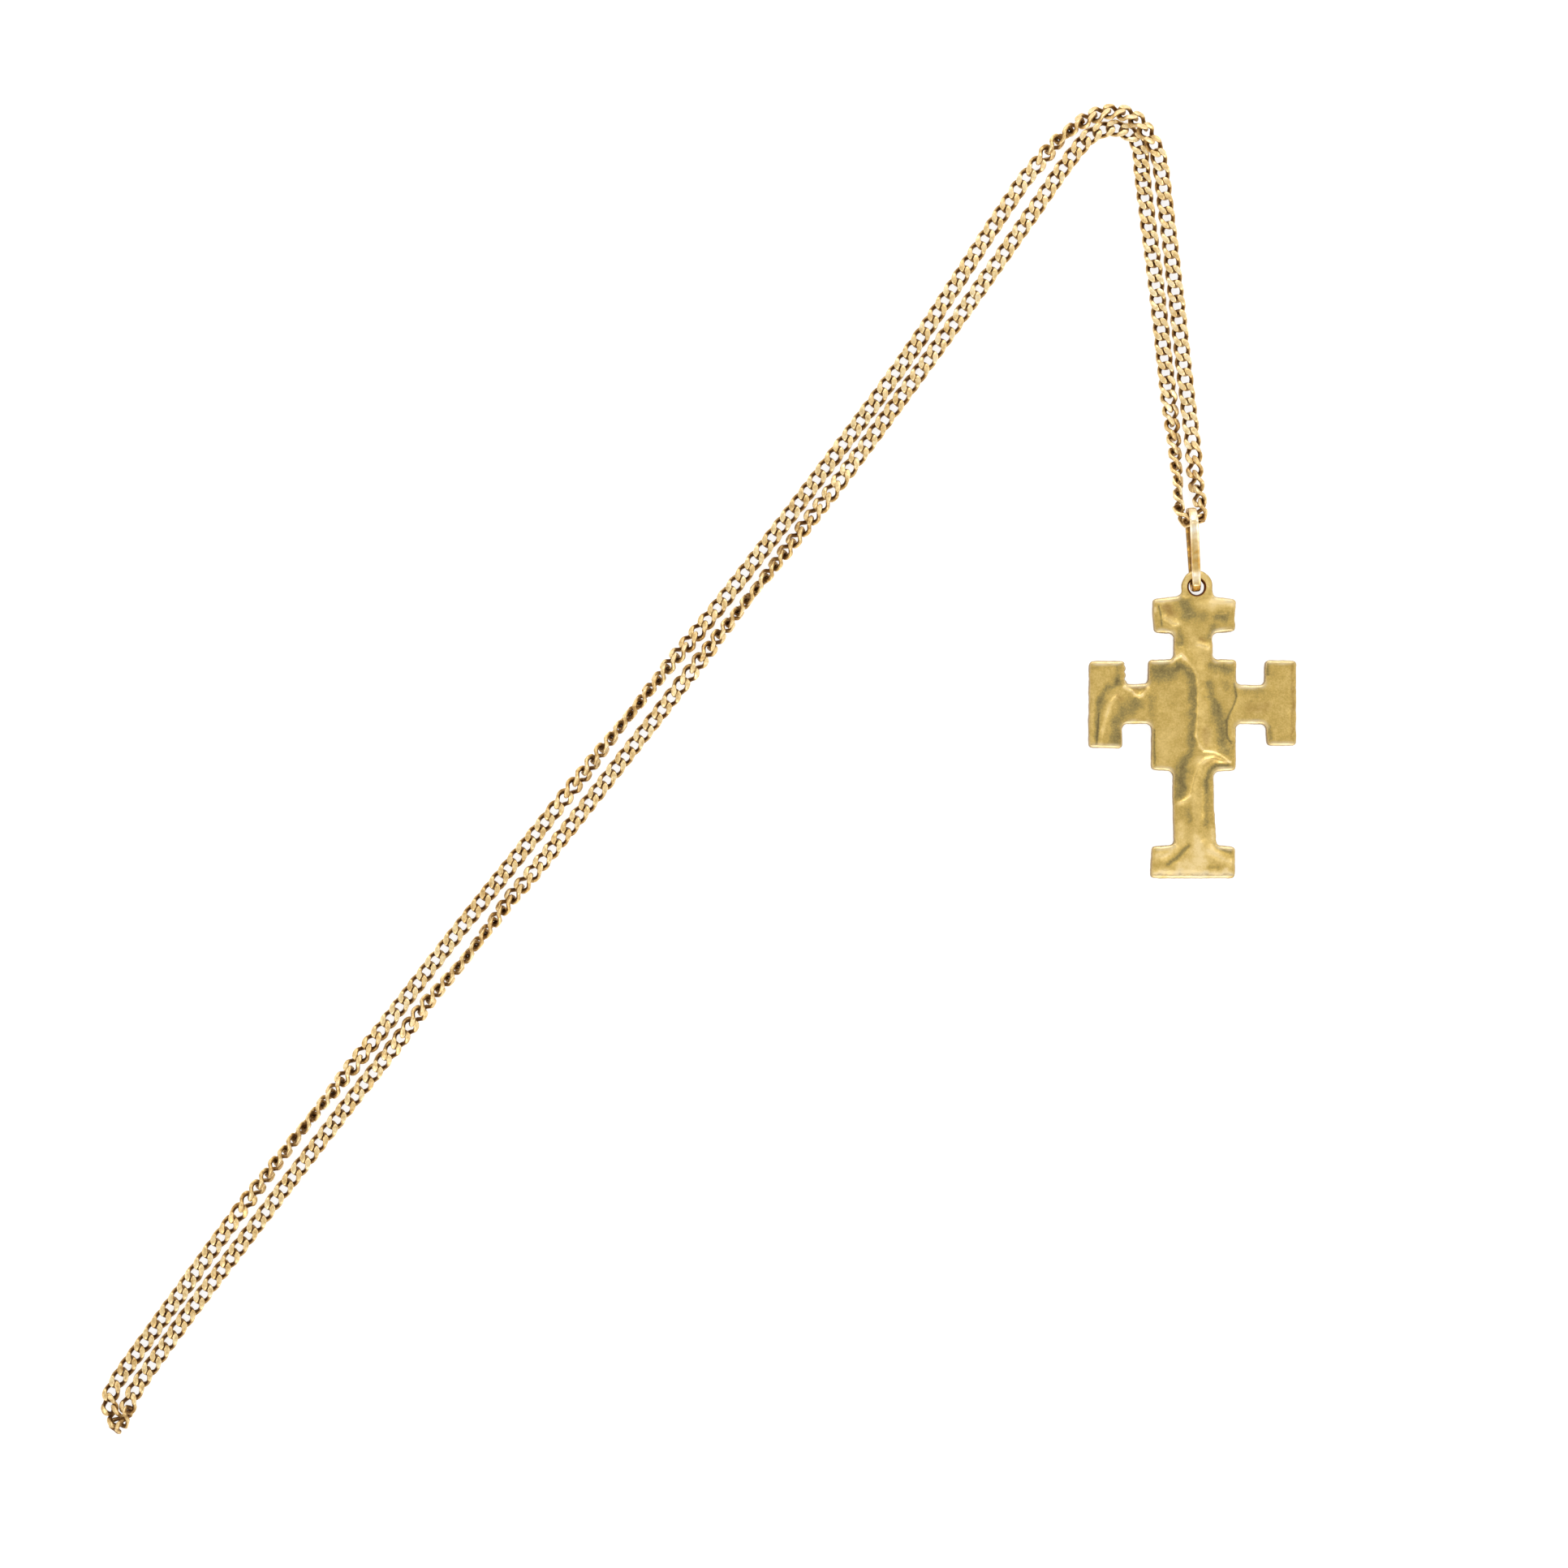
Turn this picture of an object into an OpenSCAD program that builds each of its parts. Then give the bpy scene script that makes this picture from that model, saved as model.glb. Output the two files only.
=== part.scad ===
// Cross pendant on an endless curb chain, doubled and laid flat on a table.
// Millimetres. X runs to the right and Y up the page as the necklace is seen
// from above, +Z is up, and the origin is the middle of the footprint on the table.

/* [Chain] */
// Width of the chain across its links
chain_w = 2.3; // [2:0.05:2.35]
// Thickness of the chain through its flat faces
chain_t = 1.4; // [1.2:0.05:1.45]

/* [Cross] */
// Thickness of the casting
cross_t = 2.4; // [2.3:0.1:3]
// Width over the two side bars
cross_w = 30.2; // [28:0.1:32]
// Width of the square in the middle
square_w = 12.6; // [11.5:0.1:13.5]
// Height of the square in the middle
square_h = 16.3; // [15:0.1:17.5]
// Width of the neck between the square and the top bar
neck_w = 5.6; // [5:0.1:7]
// Height of that neck
neck_h = 4; // [3:0.1:5]
// Length of the top bar
top_bar_w = 11.9; // [10:0.1:13]
// Height of the top bar
top_bar_h = 4.9; // [4:0.1:6]
// Height of the necks out to the two side bars
arm_h = 5.7; // [5:0.1:7]
// How far the arms sit above the middle of the square
arm_rise = 1.7; // [0.5:0.1:2]
// Height of the side bars
side_bar_h = 12.6; // [11:0.1:14]
// Width of the left side bar
left_bar_w = 5.3; // [4:0.1:6]
// Width of the right side bar
right_bar_w = 4.6; // [4:0.1:6]
// Width of the shaft below the square
shaft_w = 5.9; // [5:0.1:7]
// Length of the shaft
shaft_h = 11; // [9:0.1:13]
// Length of the bar at the foot
foot_bar_w = 12.2; // [10:0.1:13]
// Height of the bar at the foot
foot_bar_h = 4.5; // [4:0.1:6]
// Radius in the inner corners
inner_r = 0.7; // [0.3:0.1:1]
// Radius on the outer corners
outer_r = 0.4; // [0.2:0.1:0.8]

/* [Eye] */
// Diameter of the soldered eye over its rim
eye_d = 4.3; // [4.1:0.1:4.6]
// Diameter of the hole in the eye
eye_hole_d = 2.45; // [2.4:0.05:2.6]
// Thickness of the eye
eye_t = 1.1; // [0.9:0.05:1.15]

/* [Bail] */
// Length of the bail
bail_l = 12.45; // [12:0.05:12.6]
// Width of its flat wire
bail_w = 1.25; // [1:0.05:1.3]
// Thickness of that wire
bail_wire_t = 0.8; // [0.7:0.05:0.85]
// Clear gap between its legs at the eye
bail_eye_gap = 1.6; // [1.5:0.05:1.7]
// Clear gap between its legs at the chain
bail_chain_gap = 3; // [2.9:0.05:3.2]

/* [Hidden] */

// Middle of the square, where the cross lies on the table
cross_at = [71.7, 7.65];
// How far the head and the shaft stand to the right of the square's middle
head_shift = 0.25;
shaft_shift = 0.15;
// Top edge of the top bar, from the middle of the square
bar_top = square_h / 2 + neck_h + top_bar_h;
// Middle of the eye, and how far its hole sits below it
eye_at = [0.6, bar_top + 1.9];
hole_drop = 0.25;
// The eye stands clear of the table, so that the bail passes under it
eye_z = 1.15;
// Height of the flared foot that the eye stands on, and its flare
eye_foot_h = 1.9;
eye_flare_r = 0.7;
eye_flare_lip = 0.3;
// How deep the eye's foot is let into the top bar
eye_root = 1;
// Radius on an edge that is buried in another
buried_r = 0.05;
// How far the drill of the hole runs past both faces
drill_over = 1;

// Outer end of the bail in the eye, on the table
bail_at = [72.13, 25.6];
// The bail turns a little from the Y axis and leans to the right
bail_turn = 4;
bail_lean = 5;
// Lift that keeps the leaning wire's edge on the table
bail_lift = 0.07;

// Steps in a rounded corner, and in each end of the bail
corner_steps = 4;
bail_steps = 16;
// Sides of the chain's tube
tube_sides = 8;

// Route of the chain's middle line, a closed loop of 610 mm of chain. The columns
// are X, Y, the gap under the chain and its roll in degrees, where 0 is flat on
// the table and 90 stands it on edge. It starts in the bail, runs up the left
// strand, round the inside of the bend and down to the far fold, and comes back
// round the outside of the bend.
route = [
    [71.5, 35.95, 1.1, 90],
    [70.55, 36.25, 1.1, 90],
    [70.0, 37.0, 1.1, 90],
    [69.8, 38.2, 1.0, 88],
    [69.7, 39.8, 0.7, 82],
    [69.6, 41.8, 0.4, 76],
    [69.25, 46.2, 0.1, 60],
    [68.7, 51.2, 0, 42],
    [68.0, 57.5, 0, 0],
    [66.6, 70.0, 0, 0],
    [65.5, 78.6, 0, 0],
    [64.5, 87.0, 0, 0],
    [64.3, 89.4, 0, 0],
    [63.8, 91.2, 0, 0],
    [62.6, 92.5, 0, 0],
    [60.9, 93.1, 0, 0],
    [58.8, 92.9, 0, 0],
    [57.0, 92.0, 0, 0],
    [54.3, 89.0, 0, 0],
    [48.2, 80.3, 0, 0],
    [38.4, 66.3, 0, 0],
    [23.3, 45.5, 0, 5],
    [18.4, 39.0, 0, 33],
    [14.1, 33.4, 0, 55],
    [7.6, 25.1, 0, 90],
    [1.8, 17.7, 0, 119],
    [-2.0, 12.8, 0, 155],
    [-8.0, 5.1, 0, 180],
    [-23.4, -14.4, 0, 202],
    [-27.4, -19.1, 0, 236],
    [-33.6, -27.3, 0, 270],
    [-39.4, -34.1, 0, 298],
    [-43.5, -39.5, 0, 335],
    [-51.3, -49.4, 0, 360],
    [-64.2, -66.2, 0, 360],
    [-75.8, -81.6, 0, 360],
    [-81.9, -90.5, 0, 370],
    [-82.8, -92.5, 0, 385],
    [-83.2, -94.2, 0, 420],
    [-83.5, -95.3, 0, 440],
    [-84.3, -96.0, 0, 450],
    [-85.1, -95.3, 0, 460],
    [-85.4, -93.9, 0, 485],
    [-85.8, -92.3, 0, 510],
    [-85.2, -90.4, 0, 530],
    [-84.2, -88.6, 0, 540],
    [-81.8, -85.2, 0, 540],
    [-76.8, -78.3, 0, 540],
    [-68.1, -66.3, 0, 545],
    [-64.2, -61.1, 0, 596],
    [-56.4, -51.0, 0, 630],
    [-51.4, -44.7, 0, 662],
    [-47.4, -39.7, 0, 700],
    [-35.6, -24.5, 0, 720],
    [-22.3, -7.8, 0, 725],
    [-16.9, -1.0, 0, 773],
    [-10.3, 7.4, 0, 810],
    [-4.2, 15.1, 0, 841],
    [0.2, 20.2, 0, 872],
    [5.6, 27.0, 0, 900],
    [18.6, 43.9, 0, 900],
    [31.2, 61.1, 0, 900],
    [42.9, 78.9, 0, 900],
    [47.7, 86.0, 0, 906],
    [49.5, 88.1, 0, 930],
    [51.3, 90.2, 0, 958],
    [53.1, 92.0, 0, 990],
    [54.9, 93.5, 0.1, 1018],
    [56.9, 94.6, 0.3, 1034],
    [58.9, 95.3, 0.4, 1038],
    [61.1, 95.35, 0.6, 1038],
    [63.0, 94.6, 1.0, 1040],
    [64.5, 93.25, 1.35, 1048],
    [65.5, 91.7, 1.15, 1060],
    [66.5, 90.1, 0.6, 1074],
    [67.1, 88.2, 0.1, 1078],
    [67.9, 82.1, 0, 1080],
    [69.4, 69.3, 0, 1080],
    [70.8, 56.6, 0, 1080],
    [71.8, 47.8, 0, 1096],
    [72.3, 41.8, 0.4, 1132],
    [72.6, 39.8, 0.7, 1144],
    [73.0, 38.2, 1.0, 1156],
    [72.95, 37.0, 1.1, 1170],
    [72.4, 36.25, 1.1, 1170],
];

function unit(v) = v / norm(v);

// Points of the arc of radius r that rounds corner b between a and c
function corner_arc(a, b, c, r) =
    let (u = unit(a - b),
         v = unit(c - b),
         half = acos(u * v) / 2,
         middle = b + unit(u + v) * r / sin(half),
         from = b + u * r / tan(half) - middle,
         to = b + v * r / tan(half) - middle)
    [for (k = [0:corner_steps]) middle + r * unit(from * (1 - k / corner_steps) + to * k / corner_steps)];

// Closed outline through rows of X, Y and corner radius
function rounded(rows) =
    let (n = len(rows),
         at = [for (row = rows) [row[0], row[1]]])
    [for (i = [0:n - 1]) each corner_arc(at[(i + n - 1) % n], at[i], at[(i + 1) % n], rows[i][2])];

// Half of the cross from the top bar down, as rows of X, Y and corner radius.
// The last column of a row here is how far it stands to the right of the middle.
function half_rows(side, bar_w) =
    let (square_x = square_w / 2,
         square_y = square_h / 2,
         end_x = cross_w / 2,
         bar_x = end_x - bar_w,
         bar_y = side_bar_h / 2,
         head_y = square_y + neck_h,
         foot_y = square_y + shaft_h,
         rows = [
             [top_bar_w / 2, bar_top, outer_r, head_shift],
             [top_bar_w / 2, head_y, outer_r, head_shift],
             [neck_w / 2, head_y, inner_r, head_shift],
             [neck_w / 2, square_y, inner_r, head_shift],
             [square_x, square_y, outer_r, 0],
             [square_x, arm_rise + arm_h / 2, inner_r, 0],
             [bar_x, arm_rise + arm_h / 2, inner_r, 0],
             [bar_x, arm_rise + bar_y, outer_r, 0],
             [end_x, arm_rise + bar_y, outer_r, 0],
             [end_x, arm_rise - bar_y, outer_r, 0],
             [bar_x, arm_rise - bar_y, outer_r, 0],
             [bar_x, arm_rise - arm_h / 2, inner_r, 0],
             [square_x, arm_rise - arm_h / 2, inner_r, 0],
             [square_x, -square_y, outer_r, 0],
             [shaft_w / 2, -square_y, inner_r, shaft_shift],
             [shaft_w / 2, -foot_y, inner_r, shaft_shift],
             [foot_bar_w / 2, -foot_y, outer_r, 0],
             [foot_bar_w / 2, -foot_y - foot_bar_h, outer_r, 0],
         ])
    [for (row = rows) [side * row[0] + row[3], row[1], row[2]]];

// Whole outline of the cross: down its right side and up its left
function cross_outline() =
    let (left = half_rows(-1, left_bar_w))
    rounded(concat(half_rows(1, right_bar_w), [for (i = [len(left) - 1:-1:0]) left[i]]));

// Foot of the eye: as wide as the eye, let into the bar and flared where it leaves it
function eye_foot() =
    let (side = eye_d / 2,
         spread = side + eye_flare_r + eye_flare_lip,
         root = bar_top - eye_root,
         tip = bar_top + eye_foot_h)
    rounded([
        [-side, tip, buried_r],
        [side, tip, buried_r],
        [side, bar_top, eye_flare_r],
        [spread, bar_top, buried_r],
        [spread, root, buried_r],
        [-spread, root, buried_r],
        [-spread, bar_top, buried_r],
        [-side, bar_top, eye_flare_r],
    ]);

// Outline of a band pulled round two circles, with its length along X
function pulled_round(a, a_r, b, b_r) =
    let (along = atan2(b[1] - a[1], b[0] - a[0]),
         open = 90 + asin((b_r - a_r) / norm(b - a)),
         turn_a = 360 - 2 * open,
         turn_b = 2 * open)
    concat(
        [for (k = [0:bail_steps]) let (t = along + open + turn_a * k / bail_steps)
            a + a_r * [cos(t), sin(t)]],
        [for (k = [0:bail_steps]) let (t = along - open + turn_b * k / bail_steps)
            b + b_r * [cos(t), sin(t)]]
    );

// Middle line of the chain at row i: half its height at that roll lifts it off the table
function chain_point(i) =
    let (row = route[i % len(route)],
         rise = norm([chain_w * sin(row[3]), chain_t * cos(row[3])]) / 2)
    [row[0], row[1], row[2] + rise];

// Ring of the chain's tube at row i, square to the route and turned by its roll
function chain_ring(i) =
    let (n = len(route),
         roll = route[i][3],
         along = unit(chain_point(i + 1) - chain_point(i + n - 1)),
         side = unit(cross(along, [0, 0, 1])),
         up = cross(side, along),
         wide = side * cos(roll) - up * sin(roll),
         thin = up * cos(roll) + side * sin(roll))
    [for (k = [0:tube_sides - 1]) let (t = 360 * k / tube_sides)
        chain_point(i) + wide * cos(t) * chain_w / 2 + thin * sin(t) * chain_t / 2];

// The cross, cast in one piece, with the eye soldered on its head
module cross() {
    color([0.78, 0.65, 0.3])
        translate([cross_at[0], cross_at[1], 0])
        difference() {
            union() {
                linear_extrude(cross_t) polygon(cross_outline());
                translate([eye_at[0], 0, eye_z]) {
                    translate([0, eye_at[1], 0]) cylinder(d = eye_d, h = eye_t, $fn = 48);
                    linear_extrude(eye_t) polygon(eye_foot());
                }
            }
            translate([eye_at[0], eye_at[1] - hole_drop, -drill_over])
                cylinder(d = eye_hole_d, h = cross_t + 2 * drill_over, $fn = 48);
        }
}

// The bail: a closed loop of flat wire that stands on edge, wider at the chain
module bail() {
    eye_r = bail_eye_gap / 2;
    chain_r = bail_chain_gap / 2;
    eye_end = [eye_r + bail_wire_t, eye_r + bail_wire_t];
    chain_end = [bail_l - chain_r - bail_wire_t, chain_r + bail_wire_t];
    color([0.87, 0.74, 0.5])
        translate([bail_at[0], bail_at[1], bail_lift])
        rotate([0, 0, 90 + bail_turn])
        rotate([90 + bail_lean, 0, 0])
        translate([0, 0, -bail_w / 2])
        linear_extrude(bail_w)
        difference() {
            polygon(pulled_round(eye_end, eye_r + bail_wire_t, chain_end, chain_r + bail_wire_t));
            polygon(pulled_round(eye_end, eye_r, chain_end, chain_r));
        }
}

// The chain: one closed tube along its route, as wide and as thick as its links
module chain() {
    n = len(route);
    points = [for (i = [0:n - 1]) each chain_ring(i)];
    faces = [
        for (i = [0:n - 1])
            for (k = [0:tube_sides - 1])
                let (a = i * tube_sides + k,
                     b = i * tube_sides + (k + 1) % tube_sides,
                     c = ((i + 1) % n) * tube_sides + (k + 1) % tube_sides,
                     d = ((i + 1) % n) * tube_sides + k)
                each [[a, b, c], [a, c, d]]
    ];
    color([0.86, 0.7, 0.4]) polyhedron(points, faces);
}

cross();
bail();
chain();
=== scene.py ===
import math

import bpy
import numpy as np
from mathutils import Matrix, Vector, noise
from mathutils.kdtree import KDTree


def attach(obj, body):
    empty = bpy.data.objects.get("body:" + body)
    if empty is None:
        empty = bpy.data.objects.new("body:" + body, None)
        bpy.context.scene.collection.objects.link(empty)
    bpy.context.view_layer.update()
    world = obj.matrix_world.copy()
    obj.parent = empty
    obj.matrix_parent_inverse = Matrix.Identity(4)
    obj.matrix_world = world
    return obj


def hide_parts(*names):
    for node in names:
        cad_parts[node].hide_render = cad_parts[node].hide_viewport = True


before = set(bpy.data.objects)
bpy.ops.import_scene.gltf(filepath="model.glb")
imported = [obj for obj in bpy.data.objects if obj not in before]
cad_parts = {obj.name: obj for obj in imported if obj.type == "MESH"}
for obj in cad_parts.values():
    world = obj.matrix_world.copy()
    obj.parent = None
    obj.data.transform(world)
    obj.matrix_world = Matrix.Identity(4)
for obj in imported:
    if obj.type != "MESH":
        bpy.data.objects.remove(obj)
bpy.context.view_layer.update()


# THE VIEW
# The necklace lies flat and is seen from straight above, with the top of the
# chain's bend towards +Y. The camera stands far off, as for a catalogue page.

MM = 0.001
VIEW_CENTRE = (12.45 * MM, -2.24 * MM)
VIEW_WIDTH, MID_HEIGHT = 227.98 * MM, 1.0 * MM  # the view is this wide at the necklace's middle height
LENS, SENSOR, FAR = 100.0, 36.0, 20

camera_data = bpy.data.cameras.new("catalogue_camera")
camera_data.lens = LENS
camera_data.sensor_width = SENSOR
camera_data.clip_end = FAR
camera = bpy.data.objects.new("catalogue_camera", camera_data)
camera.location = (*VIEW_CENTRE, MID_HEIGHT + VIEW_WIDTH * LENS / SENSOR)
bpy.context.scene.collection.objects.link(camera)
bpy.context.scene.camera = camera


# THE CURB CHAIN
# One endless chain of 287 flattened curb links, each a twisted ring of solid gold
# wire, soldered shut. It is doubled, and each strand rolls over as it goes, so
# some links lie flat and others stand on edge.

# Where the chain runs, in mm: X, Y and how high above the floor, then its roll in degrees
CHAIN_ROUTE = (
    (71.5, 35.95, 1.1, 90), (70.55, 36.25, 1.1, 90), (70.0, 37.0, 1.1, 90), (69.8, 38.2, 1.0, 88),
    (69.7, 39.8, 0.7, 82), (69.6, 41.8, 0.4, 76), (69.25, 46.2, 0.1, 60), (68.7, 51.2, 0, 42),
    (68.0, 57.5, 0, 0), (66.6, 70.0, 0, 0), (65.5, 78.6, 0, 0), (64.5, 87.0, 0, 0),
    (64.3, 89.4, 0, 0), (63.8, 91.2, 0, 0), (62.6, 92.5, 0, 0), (60.9, 93.1, 0, 0),
    (58.8, 92.9, 0, 0), (57.0, 92.0, 0, 0), (54.3, 89.0, 0, 0), (48.2, 80.3, 0, 0),
    (38.4, 66.3, 0, 0), (23.3, 45.5, 0, 5), (18.4, 39.0, 0, 33), (14.1, 33.4, 0, 55),
    (7.6, 25.1, 0, 90), (1.8, 17.7, 0, 119), (-2.0, 12.8, 0, 155), (-8.0, 5.1, 0, 180),
    (-23.4, -14.4, 0, 202), (-27.4, -19.1, 0, 236), (-33.6, -27.3, 0, 270), (-39.4, -34.1, 0, 298),
    (-43.5, -39.5, 0, 335), (-51.3, -49.4, 0, 360), (-64.2, -66.2, 0, 360), (-75.8, -81.6, 0, 360),
    (-81.9, -90.5, 0, 370), (-82.8, -92.5, 0, 385), (-83.2, -94.2, 0, 420), (-83.5, -95.3, 0, 440),
    (-84.3, -96.0, 0, 450), (-85.1, -95.3, 0, 460), (-85.4, -93.9, 0, 485), (-85.8, -92.3, 0, 510),
    (-85.2, -90.4, 0, 530), (-84.2, -88.6, 0, 540), (-81.8, -85.2, 0, 540), (-76.8, -78.3, 0, 540),
    (-68.1, -66.3, 0, 545), (-64.2, -61.1, 0, 596), (-56.4, -51.0, 0, 630), (-51.4, -44.7, 0, 662),
    (-47.4, -39.7, 0, 700), (-35.6, -24.5, 0, 720), (-22.3, -7.8, 0, 725), (-16.9, -1.0, 0, 773),
    (-10.3, 7.4, 0, 810), (-4.2, 15.1, 0, 841), (0.2, 20.2, 0, 872), (5.6, 27.0, 0, 900),
    (18.6, 43.9, 0, 900), (31.2, 61.1, 0, 900), (42.9, 78.9, 0, 900), (47.7, 86.0, 0, 906),
    (49.5, 88.1, 0, 930), (51.3, 90.2, 0, 958), (53.1, 92.0, 0, 990), (54.9, 93.5, 0.1, 1018),
    (56.9, 94.6, 0.3, 1034), (58.9, 95.3, 0.4, 1038), (61.1, 95.35, 0.6, 1038), (63.0, 94.6, 1.0, 1040),
    (64.5, 93.25, 1.35, 1048), (65.5, 91.7, 1.15, 1060), (66.5, 90.1, 0.6, 1074),
    (67.1, 88.2, 0.1, 1078), (67.9, 82.1, 0, 1080), (69.4, 69.3, 0, 1080), (70.8, 56.6, 0, 1080),
    (71.8, 47.8, 0, 1096), (72.3, 41.8, 0.4, 1132), (72.6, 39.8, 0.7, 1144), (73.0, 38.2, 1.0, 1156),
    (72.95, 37.0, 1.1, 1170), (72.4, 36.25, 1.1, 1170),
)
ROLL_IN_ALL = 1080  # the strand turns over six times on its way round
CHAIN_WIDE, CHAIN_THICK = 2.3, 1.4
ROUTE_STEPS = 20  # points from one of these places to the next

# One link, in mm. The middle line of its wire is an oval in plan. Two quarters of
# it lie high and two low, so that the links pass through each other. The wire was
# bent round, twisted, and rolled flat on both faces, which cut a long facet on
# each high and low quarter.
LINK_HALF_LONG, LINK_HALF_WIDE, LINK_SWING = 1.40, 0.92, 0.68
SWING_ROUND = 0.55  # how gently the wire goes from high to low
SWING_SPREAD = 0.1  # how far the facets run on into the climb
# Half the wire's width, outwards and inwards, at so many degrees from the link's end
WIRE_OUTER = ((0, 15, 32, 50, 70, 90), (0.31, 0.33, 0.36, 0.34, 0.31, 0.31))
WIRE_INNER = ((0, 12, 25, 40, 55, 70, 90), (0.32, 0.40, 0.49, 0.51, 0.44, 0.36, 0.32))
WIRE_HIGH = 0.33
CLIMB_GROWTH, CLIMB_MOST = 0.3, 1.35  # how much taller the wire's upright section is where it climbs
# The facets' height from the link's middle, their slight roundness, and how worn their ends are
FACE_HEIGHT, FACE_CROWN, FACE_WORN = 0.72, 0.05, 0.3
UNCUT = 0.97  # of the wire's height, where no facet cuts it
# Steps round the link, and round its wire: from facet to facet, and across a facet
LINK_STEPS = 48
ARC_SHARES = (0, 0.15, 0.5, 0.85, 1)
FLAT_SHARES = (0.8, 0, -0.8)
# How light the gold is, from 0 to 1, from wear and from painted shade that darkens the wire lower down:
# all over, by its height, on a facet, and beside a facet
WORN_LEAST, LIGHTER_BY_HEIGHT, WORN_FACET, WORN_BESIDE = 0.1, 0.25, 0.47, 0.25
FACET_FROM, FACET_OVER = 0.62, 0.28  # shares of the facets' height over which their wear builds up
# Painted lighter on the link's outer side, so that the inner side, facing the hole, keeps a painted
# shade
LIGHTER_OUTSIDE = ((55, 75), (0.3, 0.6))  # on the link's outer side, at so many degrees from its end

# Links counted along the chain: after so many mm, so many links
LINKS_PASSED = (
    (0, -0.82), (24.8, 11), (50.4, 23), (60.2, 28), (68.4, 32), (98.3, 46), (128.2, 60),
    (170.8, 80), (198.5, 93), (232.0, 109), (257.4, 121), (295.8, 139), (304.1, 143),
    (337.8, 159), (378.2, 178), (410.1, 193), (450.3, 212), (527.2, 248), (551.95, 260),
    (564.8, 266), (594.9, 280),
)
LINKS_IN_ALL = 287
# At the fold, these links sit off the middle line: X, Y, Z in mm and roll in degrees, then how
# far each is turned about its own side and face
LINK_MOVES = {140: (0.13, 0.05, 0.3, 29, -8, 0), 141: (-0.2, 0.62, 0, -55, 48, 0),
              142: (0.53, 0.44, 0.2, 30, 0, 0), 143: (0.2, 0.1, 0, 10, 0, 0)}
LINK_NOD = 2.2  # degrees that links lean either way in the next ones
# The long run is more tarnished than the links by the bail; the fold is darkest, with painted shade
# where the heaped links lie: link and how much
LINK_TARNISH_AND_SHADE = ((42, 66, 130, 138, 146, 154, 220, 244), (0, 0.08, 0.06, 0.15, 0.15, 0.06, 0.08, 0))
LOWEST = 0.01  # mm above the floor


def chain_path():
    """Dense closed path along the route, in mm: X, Y, Z of the middle line and the roll."""
    rows = np.array(CHAIN_ROUTE, float)
    count = len(rows)
    roll = np.radians(rows[:, 3])
    rows[:, 2] += np.hypot(CHAIN_WIDE * np.sin(roll), CHAIN_THICK * np.cos(roll)) / 2
    turned = np.vstack([rows, rows, rows])
    turned[:count, 3] -= ROLL_IN_ALL
    turned[2 * count:, 3] += ROLL_IN_ALL
    path = []
    for i in range(count, 2 * count):
        p = turned[i - 1:i + 3]
        knots = [0.0]
        for k in range(3):
            knots.append(knots[-1] + max(np.linalg.norm(p[k + 1, :3] - p[k, :3]), 1e-6) ** 0.5)
        u = np.linspace(knots[1], knots[2], ROUTE_STEPS, endpoint=False)[:, None]

        def between(a, b, lo, hi):
            return ((hi - u) * a + (u - lo) * b) / (hi - lo)

        a = [between(p[k], p[k + 1], knots[k], knots[k + 1]) for k in range(3)]
        b = [between(a[k], a[k + 1], knots[k], knots[k + 2]) for k in range(2)]
        path.append(between(b[0], b[1], knots[1], knots[2]))
    return np.vstack(path)


def link_places(path):
    """Middle, roll and direction of each link on the path."""
    closed = np.vstack([path, path[:1]])
    closed[-1, 3] += ROLL_IN_ALL
    step = np.linalg.norm(np.diff(closed[:, :3], axis=0), axis=1)
    along = np.concatenate([[0], np.cumsum(step)])
    length = along[-1]
    passed = np.array(LINKS_PASSED + ((length, LINKS_PASSED[0][1] + LINKS_IN_ALL),), float)
    at = np.interp(np.arange(LINKS_IN_ALL), passed[:, 1], passed[:, 0])

    def sample(s):
        return np.stack([np.interp(s % length, along, closed[:, k]) for k in range(4)], 1)

    direction = sample(at + LINK_HALF_LONG / 2)[:, :3] - sample(at - LINK_HALF_LONG / 2)[:, :3]
    direction /= np.linalg.norm(direction, axis=1)[:, None]
    places = sample(at)
    for n, move in LINK_MOVES.items():
        places[n] += move[:4]
    return places, direction


def tube_quads(along, around):
    """Quads of a closed tube, with so many rings along it and so many points around each."""
    quads = []
    for i in range(along):
        j = (i + 1) % along
        for k in range(around):
            m = (k + 1) % around
            quads.append((i * around + k, i * around + m, j * around + m, j * around + k))
    return np.array(quads)


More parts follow.
